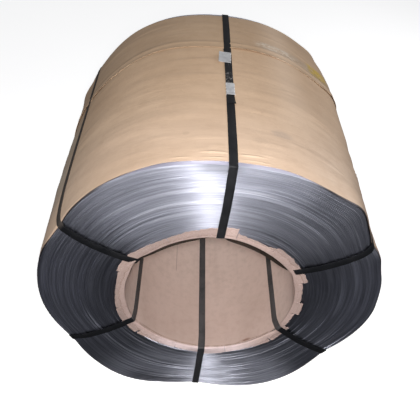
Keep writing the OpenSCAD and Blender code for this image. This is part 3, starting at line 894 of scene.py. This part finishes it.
def liner():
    sh = Shells()
    n = 240
    theta = np.arange(n) * 360.0 / n

    def inner(y):
        return liner_inner(theta, y)

    ys = np.concatenate([np.linspace(-HALF + 3.0, -HALF + 70, 16)[:-1], np.linspace(-HALF + 70, HALF - 1.0, 44)])
    co, v = [], []
    for y in ys:
        co.append(polar(inner(y), theta, y))
        v.append(y * MM)
    for y in ys[::-1]:
        co.append(polar(np.minimum(inner(y) + 1.5, WIRE_R - 0.1 + flare(theta) * math.exp(-(y + HALF) / 11.0)), theta, y))
        v.append(y * MM)
    v.append(v[0])
    rings = np.array(co)
    m = len(rings)
    faces, uv, slots = [], [], []
    w = [j / n * 1.28 for j in range(n + 1)]
    for i in range(m):
        a, b = i * n, ((i + 1) % m) * n
        for j in range(n):
            k = (j + 1) % n
            faces.append([a + j, a + k, b + k, b + j])
            uv.append([(w[j], v[i]), (w[j + 1], v[i]), (w[j + 1], v[i + 1]), (w[j], v[i + 1])])
            slots.append(0 if i < len(ys) - 1 else 1)
    sh.add(rings.reshape(-1, 3), faces, uv, slots)
    return sh.piece("bore_liner_board", [BOARD, BOARD_BACK_PAINTED_SHADE], 40.0)


# Tabs folded out over the near end, one after the other round the bore: start, end, and how far each reaches.
TABS = [
    (-30.6, -24.3, [(-31, 224), (-27, 221), (-24.4, 222.5)]),
    (-24.1, -8.9, [(-24, 206), (-21.6, 205.5), (-16, 204.5), (-9, 204.5)]),
    (-8.7, 3.1, [(-8.6, 214.5), (-3, 213), (3, 213)]),
    (3.4, 22.6, [(3.4, 204), (6, 204), (15, 207), (22.5, 209)]),
    (22.8, 33.8, [(22.9, 221.5), (28, 222), (33.5, 221)]),
    (34.1, 58.8, [(34, 220.5), (41, 219.5), (46, 221), (52, 219.5), (57.4, 220.5), (58.8, 218.5)]),
    (59.0, 71.5, [(59.0, 215.5), (62.8, 210.5), (66, 211.5), (71.5, 213.5)]),
    (71.6, 82.9, [(71.6, 213.5), (77, 215.5), (81.5, 220), (82.9, 224)]),
    (83.1, 91.0, [(83.1, 235.5), (87, 236), (91, 234)]),
    (91.3, 121.0, [(91.3, 233), (97, 231), (104, 228), (110, 227), (116, 224), (121, 223)]),
    (121.2, 149.3, [(121.2, 223.5), (130, 224.5), (136, 227.5), (140, 230), (145, 235), (149.3, 235)]),
    (149.6, 159.4, [(149.6, 235), (155, 235), (159.4, 233)]),
    (159.6, 193.4, [(159.6, 227), (164, 225.5), (168, 222.5), (174, 221.5), (180, 222.5), (187, 224.5), (193.4, 226)]),
    (193.5, 209.3, [(193.5, 227.5), (198, 228.5), (205, 230.5), (209.3, 230.5)]),
    (209.5, 220.2, [(209.5, 228), (214, 229), (220.2, 229)]),
    (220.25, 249.8, [(220.25, 228), (226, 223), (235, 220), (243, 219), (249.8, 218.5)]),
    (250.0, 269.3, [(250, 219), (260, 219.5), (269.3, 222)]),
    (269.6, 285.8, [(269.6, 227), (274, 227.5), (280, 225), (285.8, 223)]),
    (286.0, 318.6, [(286, 222.5), (296, 221), (304, 221), (312, 224), (318.6, 226.5)]),
    (318.65, 329.2, [(318.65, 226.5), (324, 225), (329.2, 224)]),
]


def tab_shell(sh, rng, t0, t1, reach, fold_r, y_face, sign, snug=True):
    """One folded tab: from inside the bore, round the fold, out over the end. sign -1 is the near end."""
    count = max(5, int((t1 - t0) / 0.42))
    th = np.linspace(t0, t1, count)
    out = np.interp(th, [a for a, _ in reach], [r for _, r in reach])
    torn = np.convolve(rng.normal(size=count + 6), [0.2, 0.3, 0.3, 0.2], mode="same")[3:-3]
    out = out + np.clip(torn * 1.1, -2.2, 1.8)
    r0 = fold_r(th)
    if snug:
        r0 = r0 + (BORE_R + 0.3 - r0) * np.clip((6.0 - off_station(th)) / 3.0, 0, 1) * (np.abs(th - 33.5) > 10)
        r0 = r0 + (flare(th) if sign < 0 else 0.0)
    free = np.clip((off_station(th) - 3.0) / 9.0, 0, 1)
    lift = np.clip(rng.uniform(2.6, 4.4) + rng.uniform(-0.9, 0.9) * np.linspace(-1, 1, count), 0.0, 5.0) * free
    if sign < 0:
        tip = np.sin(np.radians(th))
        out = out + lift * tip * (1.29 - 0.29 * tip)
    mid_share = rng.uniform(0.42, 0.56)
    step = rng.uniform(0.25, 0.6)
    bumps = np.convolve(rng.normal(size=count + 10), np.ones(9) / 9, mode="same")[5:-5] * 0.55
    thick = 1.15
    fold = 3.2
    prof, back = [], []
    in_lip = 5.5
    for k in range(count):
        span = out[k] - (r0[k] + fold)
        line = [(r0[k], y_face + in_lip), (r0[k], y_face + in_lip * 0.6), (r0[k], y_face + fold)]
        for a in (25, 50, 70):
            line.append((r0[k] + fold * (1 - math.cos(math.radians(a))), y_face + fold * (1 - math.sin(math.radians(a)))))
        line.append((r0[k] + fold, y_face))
        for s in (0.25, mid_share - 0.06, mid_share, mid_share + 0.06, 0.78, 1.0):
            s = min(max(s, 0.05), 1.0)
            z = y_face - lift[k] * s + bumps[k] * s * 0.5 + (step if s > mid_share - 0.01 else 0.0) * min(1.0, (s - mid_share + 0.06) / 0.08)
            if abs(s - mid_share) < 1e-6:
                z -= 0.35
            line.append((r0[k] + fold + max(span, 1.0) * s, min(z, -HALF - 0.15)))
        prof.append(line)
    prof = np.array(prof)                       # (count, P, 2) of r, y at the near end
    p = prof.shape[1]
    tang = np.gradient(prof, axis=1)
    nrm = np.stack([tang[..., 1], -tang[..., 0]], -1)
    nrm /= np.maximum(np.linalg.norm(nrm, axis=-1, keepdims=True), 1e-9)
    if nrm[0, 0, 0] < 0:
        nrm = -nrm
    back = prof + nrm * thick
    back[..., 1] = np.where(np.arange(p)[None, :] > 6, np.maximum(back[..., 1], prof[..., 1] + 0.3), back[..., 1])
    back[..., 1] = np.where(np.arange(p)[None, :] > 5, np.minimum(back[..., 1], -HALF + 0.6), back[..., 1])
    rings = []
    for k in range(count):
        loop = np.concatenate([prof[k], back[k][::-1]])
        out_share = np.clip((loop[:, 0] - r0[k] - fold) / max(out[k] - r0[k] - fold, 1.0), 0, 1)
        part = (th[k] - t0) / (t1 - t0)
        slit = 0.85 if abs(th[k] - 318.6) < 4 else (0.5 if abs(th[k] - 220.2) < 4 else 0.1)
        spread = (slit if math.sin(math.radians(th[k])) < -0.4 else 0.12) * (max(0.0, 1 - part * (t1 - t0) / 1.6) - max(0.0, 1 - (1 - part) * (t1 - t0) / 1.6))
        rings.append(polar(loop[:, 0], th[k] + spread * out_share, sign * -1.0 * loop[:, 1]))
    rings = np.array(rings)
    u = [math.radians(t) * 0.21 for t in th]
    vv = [i * 0.002 for i in range(2 * p + 1)]
    swept(sh, rings, u + [u[-1]], vv, False)


def liner_tabs():
    near = Shells()
    rng = np.random.default_rng(63)
    for i, (t0, t1, reach) in enumerate(TABS):
        tab_shell(near, rng, t0, t1, reach, lambda t: around(FOLD, t), -HALF - 1.75 - 0.25 * (i % 2), -1.0)
    # a corner of board that lies over the upper left strap where it goes in
    tab_shell(near, rng, 146.4, 153.0, [(146.4, 215.5), (147.2, 216.5), (148.4, 219), (149.6, 222), (153.0, 225)],
              lambda t: BORE_R + 0.6 + flare(t), -HALF - 4.6, -1.0, False)
    # the rear end is finished the same way, with its own uneven tabs
    t = 3.0
    while t < 362.0:
        w = rng.uniform(9.0, 24.0)
        if t + w > 357.0:
            w = 363.0 - t
        reach = [(t + w * s, 224 + rng.uniform(-6, 6)) for s in (0.0, 0.35, 0.7, 1.0)]
        tab_shell(near, rng, t + 0.12, t + w - 0.12, reach, lambda q: np.full(np.shape(q), BORE_R + 0.4),
                  -HALF - 1.75 - rng.uniform(0, 0.25), 1.0)
        t += w
    return near.piece("bore_liner_tabs", BOARD_TORN, 40.0)


# ------------------------------------------------------------------- straps
# outer run near and far, rim, bore edge, bore run near and far (degrees)
STRAP_ANGLES = {
    "top": (91.0, 90.3, 91.1, 91.5, 91.2, 91.0),
    "upper_right": (33.5, 33.5, 33.2, 34.8, 34.2, 33.5),
    "lower_right": (-31.0, -31.0, -31.3, -29.4, -31.0, -29.2),
    "bottom": (-90.5, -90.5, -90.1, -91.3, -90.6, -90.0),
    "lower_left": (-150.5, -150.5, -150.4, -152.2, -150.8, -150.0),
    "upper_left": (149.4, 151.0, 148.8, 148.3, 149.2, 149.5),
}
# angle of each strap over the near end, by radius
FACE_RUN = {
    "top": [(205, 92.0), (225, 91.7), (255, 91.4), (285, 91.1), (330, 91.0), (396, 91.0)],
    "upper_right": [(200, 34.8), (212, 33.9), (225, 33.0), (240, 32.1), (255, 31.4), (285, 30.9), (315, 30.9), (345, 31.4), (360, 32.0),
                    (372, 33.0), (381, 33.6)],
    "lower_right": [(196, -28.0), (212, -28.7), (225, -29.5), (255, -30.5), (285, -31.2), (330, -31.3), (345, -31.1), (364, -30.9)],
    "bottom": [(205, -91.0), (240, -90.8), (270, -90.6), (300, -90.5), (376, -90.4)],
    "lower_left": [(203, -152.2), (212, -152.0), (225, -151.2), (240, -150.2), (255, -149.8), (285, -149.0), (330, -149.0), (345, -149.1),
                   (360, -149.7), (372, -150.5)],
    "upper_left": [(200, 146.0), (212, 146.7), (225, 147.8), (240, 148.7), (255, 149.2), (285, 149.8), (315, 149.9), (345, 149.6),
                   (360, 149.2), (372, 148.8), (384, 148.5)],
}
# where a strap stands off the bore as it passes over the folded board at the near end
BORE_NEAR = {"lower_right": 196.0}
HALF_W = STRAP_W / 2
SECTION = [(-HALF_W, -0.22), (-HALF_W + 0.25, -0.4), (HALF_W - 0.25, -0.4), (HALF_W, -0.22),
           (HALF_W, 0.22), (HALF_W - 0.25, 0.4), (-HALF_W + 0.25, 0.4), (-HALF_W, 0.22)]


def fillet(points, radii, step_deg=11.0):
    """A closed path of (r, y) corners rounded by radii, as an array of points."""
    out = []
    n = len(points)
    for i in range(n):
        p, a, b = (np.array(points[k % n], float) for k in (i, i - 1, i + 1))
        d0, d1 = (a - p) / np.linalg.norm(a - p), (b - p) / np.linalg.norm(b - p)
        half = math.acos(float(np.clip(np.dot(d0, d1), -1, 1))) / 2
        cut = radii[i] / math.tan(half)
        centre = p + (d0 + d1) / np.linalg.norm(d0 + d1) * radii[i] / math.sin(half)
        s, e = p + d0 * cut - centre, p + d1 * cut - centre
        a0, a1 = math.atan2(s[1], s[0]), math.atan2(e[1], e[0])
        sweep = (a1 - a0 + math.pi) % (2 * math.pi) - math.pi
        k = max(3, int(abs(math.degrees(sweep)) / step_deg))
        for j in range(k + 1):
            t = a0 + sweep * j / k
            out.append(centre + radii[i] * np.array([math.cos(t), math.sin(t)]))
    return np.array(out)


def dense(path, step):
    """The closed path with points at most step apart on its straight runs."""
    out = []
    for a, b in zip(path, np.roll(path, -1, 0)):
        k = max(1, int(np.linalg.norm(b - a) / step))
        out += [a + (b - a) * j / k for j in range(k)]
    return np.array(out)


def band_rings(r, theta, y, normal_ry, twist=0.0, width=1.0):
    """Rings of a strap's section along a path. normal_ry is the outward direction in (r, y)."""
    a = np.radians(theta)
    er = np.stack([np.cos(a), 0 * a, np.sin(a)], -1)
    et = np.stack([-np.sin(a), 0 * a, np.cos(a)], -1)
    ey = np.array([0.0, 1.0, 0.0])
    nrm = er * normal_ry[:, :1] + ey * normal_ry[:, 1:]
    tw = np.broadcast_to(np.asarray(twist, float), a.shape)[:, None]
    across = et * np.cos(tw) + nrm * np.sin(tw)
    up = nrm * np.cos(tw) - et * np.sin(tw)
    centre = polar(r, theta, y)
    rings = np.stack([centre + MM * (across * (sa * width) + up * sb) for sa, sb in SECTION], 1)
    return rings


def strap_path(name):
    i = STATION.index(name)
    seat = STATION_R[i] + 0.95 + 0.55
    outer_n, outer_f, rim, edge, bore_n, bore_f = STRAP_ANGLES[name]
    bore = BORE_R - 0.45
    corners = [(seat, -HALF - 1.5), (bore, -HALF - 2.75), (bore, HALF + 2.75), (seat, HALF + 1.5)]
    bend = float(edge_radius(STATION_A[i])) + 1.4
    path = dense(fillet(corners, [bend, 12.0 if name == "upper_left" else 4.5, 4.5, bend]), 12.0)
    stand = (BORE_NEAR.get(name, bore) - bore) * np.exp(-np.maximum(path[:, 1] + HALF, 0) / 60.0)
    path[:, 0] += stand * np.clip((bore + 26.0 - path[:, 0]) / 26.0, 0, 1)
    pull = end_shape(STATION_A[i], path[:, 1])
    path[:, 0] += pull * np.clip((path[:, 0] - (seat - 60.0)) / 60.0, 0, 1)
    r, y = path[:, 0], path[:, 1]
    # where along the loop each point is, to turn the strap gently from one angle to the next
    share = np.clip((r - bore) / (seat - bore), 0, 1)
    along = np.clip((y + HALF) / (2 * HALF), 0, 1)
    out_run = outer_n + (outer_f - outer_n) * along
    in_run = bore_n + (bore_f - bore_n) * along
    face = np.interp(r, *zip(*FACE_RUN[name]))
    on_near = np.clip((-y - (HALF - 30.0)) / 30.0, 0, 1)
    run = np.where(share > 0.5, out_run, in_run)
    theta = np.where(y < 0, run + (face - run) * on_near, run)
    nxt, prv = np.roll(path, -1, 0), np.roll(path, 1, 0)
    t = nxt - prv
    t /= np.linalg.norm(t, axis=1, keepdims=True)
    nrm = np.stack([t[:, 1], -t[:, 0]], -1)
    mid = np.array([(seat + bore) / 2, 0.0])
    if ((path - mid) * nrm).sum(1).mean() < 0:
        nrm = -nrm
    # inside the bore it lies on the board
    half_deg = math.degrees(HALF_W / BORE_R)
    rest = np.minimum(np.minimum(liner_inner(theta - half_deg, y), liner_inner(theta + half_deg, y)), liner_inner(theta, y)) - 0.65
    ease = np.clip((y + HALF - 2.0) / 18.0, 0, 1) * np.clip((HALF - 2.0 - y) / 18.0, 0, 1) * (share < 0.1)
    r = r + (np.minimum(r, rest) - r) * ease
    # a little slack on the end faces
    bow = np.sin(np.pi * share) * (np.abs(y) > HALF - 2.0)
    y = y + np.sign(y) * bow * 0.25
    return r, theta, y, nrm, seat


REAR_SEAL_R = 300.0      # where the joints on the rear end lie


def rear_run(name, rs):
    """How far back a strap's run over the rear end lies, and below its angle there."""
    r, theta, y, _, _ = strap_path(name)
    on = y > HALF + 0.5
    order = np.argsort(r[on])
    return np.interp(rs, r[on][order], y[on][order])


def rear_angle(name, rs):
    r, theta, y, _, _ = strap_path(name)
    on = y > HALF + 0.5
    order = np.argsort(r[on])
    return np.interp(rs, r[on][order], theta[on][order])


def strap(name):
    r, theta, y, nrm, seat = strap_path(name)
    sh = Shells()
    rings = band_rings(r, theta, y, nrm)
    d = np.linalg.norm(np.diff(rings.mean(1), axis=0, append=rings[:1].mean(1)), axis=1)
    u = np.concatenate([[0], np.cumsum(d)])
    v = [s[0] * MM for s in SECTION] + [SECTION[0][0] * MM]
    swept(sh, rings, list(u), v, True)
    # the loose end lapped over the loop, under the seals
    outer_n, outer_f = STRAP_ANGLES[name][:2]
    if name == "top":
        ys = np.linspace(-136.0, 116.0, 46)
        drift = np.interp(ys, [-136, -126, -100, 60, 116], [-0.36, -0.22, -0.05, 0.10, 0.22])
        raise_ = np.interp(ys, [-136, -128, -105, 95, 116], [1.5, 1.1, 0.85, 0.85, 1.1])
        th = outer_n + (outer_f - outer_n) * (ys + HALF) / (2 * HALF) + drift
        ny = np.tile([1.0, 0.0], (len(ys), 1))
        rings = band_rings(np.full(len(ys), seat) + raise_, th, ys, ny)
        along = ys
    else:
        rs = np.linspace(REAR_SEAL_R - 58.0, REAR_SEAL_R + 58.0, 24)
        raise_ = np.interp(rs - REAR_SEAL_R, [-58, -32, 32, 58], [1.1, 0.85, 0.85, 1.15])
        ny = np.tile([0.0, 1.0], (len(rs), 1))
        rings = band_rings(rs, rear_angle(name, rs) + np.interp(rs - REAR_SEAL_R, [-58, 0, 58], [0.1, 0.0, -0.15]),
                           rear_run(name, rs) + raise_, ny)
        along = rs
    swept(sh, rings, list(along * MM) + [along[-1] * MM], v, False)
    return sh.piece("strap_band_" + name, {"top": STRAP_SCUFFED, "bottom": STRAP_PAINTED_SHEEN}.get(name, STRAP), 40.0)


# -------------------------------------------------------------------- seals
def seal_piece(name, theta0, y0, base_r, length, wing=0.0, turn=0.0, rear=False):
    """A crimped sleeve of sheet metal over the two strap layers. wing opens its left side out flat. On the rear
    end, y0 is where its foot lies and base_r its middle."""
    top, t = 2.75, 0.75
    w = STRAP_W / 2 + 0.55
    left = [(w + t, 0.15), (w + t, top - 0.4), (w + t - 0.5, top + 0.35), (w - 0.6, top + t)] if wing == 0 else \
           [(w + wing, top + 0.25 - t), (w + wing + 0.1, top + 0.35), (w + wing * 0.5, top + 0.75), (w - 0.6, top + t)]
    left_in = [(w, 0.15), (w, top - 0.5), (w - 0.3, top - 0.1), (w - 1.0, top)] if wing == 0 else \
              [(w + wing - 0.3, top - 0.4 - t * 0.4), (w + wing * 0.6, top - 0.1), (w + 0.5, top - 0.05), (w - 1.0, top)]
    right = [(-w + 0.6, top + t), (-w - t + 0.5, top + 0.35), (-w - t, top - 0.4), (-w - t, 0.15)]
    right_in = [(-w + 1.0, top), (-w + 0.3, top - 0.1), (-w, top - 0.5), (-w, 0.15)]
    across = [(x, top + t) for x in np.linspace(w - 2.0, -w + 2.0, 9)]
    across_in = [(x, top) for x in np.linspace(-w + 2.0, w - 2.0, 9)]
    sect = np.array(left + across + right + right_in[::-1] + across_in + left_in[::-1])
    ys = np.concatenate([[-length / 2], np.linspace(-length / 2 + 0.4, length / 2 - 0.4, 47), [length / 2]])
    rings = []
    for q in ys:
        s = sect.copy()
        side = np.abs(s[:, 0])
        pinch = sum(math.exp(-((q - c) / 2.6) ** 2) for c in (-length * 0.27, 0.0, length * 0.27))
        hold = np.clip((side - (w - 3.2)) / 3.2, 0, 1)
        if wing:
            hold = np.where(s[:, 0] > 0, 0.0, hold)
        s[:, 0] -= np.sign(s[:, 0]) * hold * pinch * 1.5
        s[:, 1] -= np.clip((side - (w - 5.0)) / 5.0, 0, 1) * pinch * 0.55 * (s[:, 1] > 1.6) * (0.0 if wing else 1.0)
        s[:, 1] -= 0.18 * pinch * (s[:, 1] > 1.6)
        flare = 0.35 * math.exp(-((length / 2 - abs(q)) / 1.6) ** 2)
        s[:, 1] += flare * (s[:, 1] > 1.6)
        if wing:
            s[:, 1] += np.clip((s[:, 0] - 6.0) / 14.0, 0, 1) ** 2 * (2.2 + 0.5 * math.sin(q * 0.12))
        ct, st = math.cos(turn), math.sin(turn)
        x, yy = s[:, 0] * ct - q * st, s[:, 0] * st + q * ct
        if rear:
            a = math.radians(theta0)
            away = base_r + yy
            rings.append(np.stack([away * math.cos(a) - x * math.sin(a), y0 + s[:, 1],
                                   away * math.sin(a) + x * math.cos(a) + AXIS_Z], -1) * MM)
        else:
            rr = base_r + s[:, 1]
            rings.append(polar(rr, theta0 + np.degrees(x / rr), y0 + yy))
    sh = Shells()
    n = len(sect)
    swept(sh, np.array(rings), list(ys * MM) + [0.0], [k * 0.001 for k in range(n + 1)], False)
    return sh.piece(name, ZINC, 35.0)


# ------------------------------------------------------------ build the coil
made = []


def put(piece, slot, *nodes):
    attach(piece, "root")
    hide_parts(*nodes)
    made.append(piece)


put(wire_coil(), "steel_wire", "wire_coil")
put(wrap_front(), "kraft_paper", "wrap_front")
put(wrap_rear(), "kraft_paper", "wrap_rear")
put(liner(), "liner_board", "core_liner")
put(liner_tabs(), "liner_board", "core_liner")
for station in STATION:
    put(strap(station), "strap", "strap_" + station)
for station in STATION:
    seat_r = STATION_R[STATION.index(station)] + 0.95 + 0.15
    near_a, far_a = STRAP_ANGLES[station][:2]
    if station == "top":
        put(seal_piece("seal_clip_top_front", 90.6, -79.0, seat_r, 48.0), "seal", "seal_top_front")
        put(seal_piece("seal_clip_top_rear", 91.0, 68.0, seat_r, 52.0, wing=10.0, turn=0.05), "seal", "seal_top_rear")
    else:
        at = float(rear_angle(station, REAR_SEAL_R))
        foot = float(rear_run(station, REAR_SEAL_R)) - 0.4
        put(seal_piece("seal_clip_" + station, at, foot, REAR_SEAL_R, 48.0, rear=True), "seal", "seal_" + station)

# -------------------------------------------------------------------- stage
floor_mesh = bpy.data.meshes.new("floor")
R_FLOOR = 40.0
ring = [(R_FLOOR * math.cos(k * math.pi / 32), R_FLOOR * math.sin(k * math.pi / 32), -0.0005) for k in range(64)]
floor_mesh.from_pydata(ring, [], [list(range(64))])
floor = bpy.data.objects.new("floor", floor_mesh)
bpy.context.scene.collection.objects.link(floor)
fm = Nodes("pale_floor")
fm.set(Base_Color=fm.ramp(fm.noise(fm.object_xyz(), 1.2, 3.0, 0.5), [(0.3, (0.86, 0.86, 0.86)), (0.7, (0.89, 0.89, 0.89))]), Roughness=0.9)
fm.bsdf.inputs["Specular IOR Level"].default_value = 0.1
fm.bsdf.inputs["Emission Color"].default_value = (1.0, 1.0, 1.0, 1.0)
fm.bsdf.inputs["Emission Strength"].default_value = 0.62
floor_mesh.materials.append(fm.mat)
floor.visible_glossy = False
floor.visible_diffuse = False

# ------------------------------------------------------------------- camera
CAM_POS = Vector((-0.122991, -1.082680, 0.955530 + AXIS_Z * MM))
RIGHT = Vector((0.993199, -0.009081, 0.116076))
UP = Vector((-0.079367, 0.676634, 0.732030))
AHEAD = Vector((0.085188, 0.736264, -0.671311))
cam_data = bpy.data.cameras.new("camera")
cam_data.sensor_width = 36.0
cam_data.lens = 517.29 / 420.0 * 36.0
cam_data.clip_start, cam_data.clip_end = 0.01, 200.0
cam = bpy.data.objects.new("camera", cam_data)
rot = Matrix((RIGHT, UP, -AHEAD)).transposed()
cam.matrix_world = Matrix.Translation(CAM_POS) @ rot.to_4x4()
bpy.context.scene.collection.objects.link(cam)
bpy.context.scene.camera = cam


# -------------------------------------------------------------------- light
def area(name, place, target, size, power, colour=(1.0, 1.0, 1.0)):
    d = bpy.data.lights.new(name, "AREA")
    d.shape = "DISK"
    d.size = size
    d.energy = power
    d.color = colour
    o = bpy.data.objects.new(name, d)
    o.location = place
    o.rotation_euler = (Vector(target) - Vector(place)).to_track_quat("-Z", "Y").to_euler()
    bpy.context.scene.collection.objects.link(o)
    return o


aim = Vector((0.0, -0.15, 0.40))
key_at = CAM_POS - UP * 0.01 - AHEAD * 0.03
area("key_light", key_at, aim, 0.14, 18.5, (1.0, 0.99, 0.975))
area("left_light", Vector((-1.9, -1.3, 1.2)), Vector((-0.2, -0.1, 0.5)), 1.2, 5.0)
area("fill_light", Vector((2.4, 1.0, 1.7)), Vector((0.0, 0.1, 0.5)), 1.6, 24.0)
# for the gloss of the bare wire only: a wide low card above the near end, and one to each side
bare_wire = bpy.data.collections.new("bare_wire")
bare_wire.objects.link(bpy.data.objects["steel_wire_coil"])
card = area("card_light", Vector((-0.06, -0.55, 0.98)), aim, 1.0, 18.5)
card.data.shape = "RECTANGLE"
card.data.size, card.data.size_y = 3.4, 0.3
card.rotation_euler = rot.to_euler()
for lamp in (card, area("card_right", Vector((1.25, -0.75, 0.70)), aim, 0.8, 2.4), area("card_left", Vector((-1.35, -0.75, 0.70)), aim, 0.8, 2.2)):
    lamp.visible_diffuse = False
    lamp.visible_camera = False
    lamp.light_linking.receiver_collection = bare_wire

world = bpy.data.worlds.new("studio")
bpy.context.scene.world = world
world.use_nodes = True
wt = world.node_tree
wt.nodes.clear()
w_out = wt.nodes.new("ShaderNodeOutputWorld")
w_bg = wt.nodes.new("ShaderNodeBackground")
w_tc = wt.nodes.new("ShaderNodeTexCoord")
w_sep = wt.nodes.new("ShaderNodeSeparateXYZ")
w_ramp = wt.nodes.new("ShaderNodeValToRGB")
w_map = wt.nodes.new("ShaderNodeMapRange")
w_map.inputs[1].default_value, w_map.inputs[2].default_value = -1.0, 1.0
wt.links.new(w_tc.outputs["Generated"], w_sep.inputs[0])
wt.links.new(w_sep.outputs[2], w_map.inputs[0])
wt.links.new(w_map.outputs[0], w_ramp.inputs[0])
e = w_ramp.color_ramp.elements
e[0].position, e[0].color = 0.44, (0.42, 0.43, 0.46, 1)
e[1].position, e[1].color = 0.60, (0.95, 0.96, 1.0, 1)
wt.links.new(w_ramp.outputs[0], w_bg.inputs["Color"])
w_bg.inputs["Strength"].default_value = 0.24
wt.links.new(w_bg.outputs[0], w_out.inputs["Surface"])

bpy.context.scene.view_settings.view_transform = "Standard"
bpy.context.scene.view_settings.look = "None"
bpy.context.scene.view_settings.exposure = 0.0
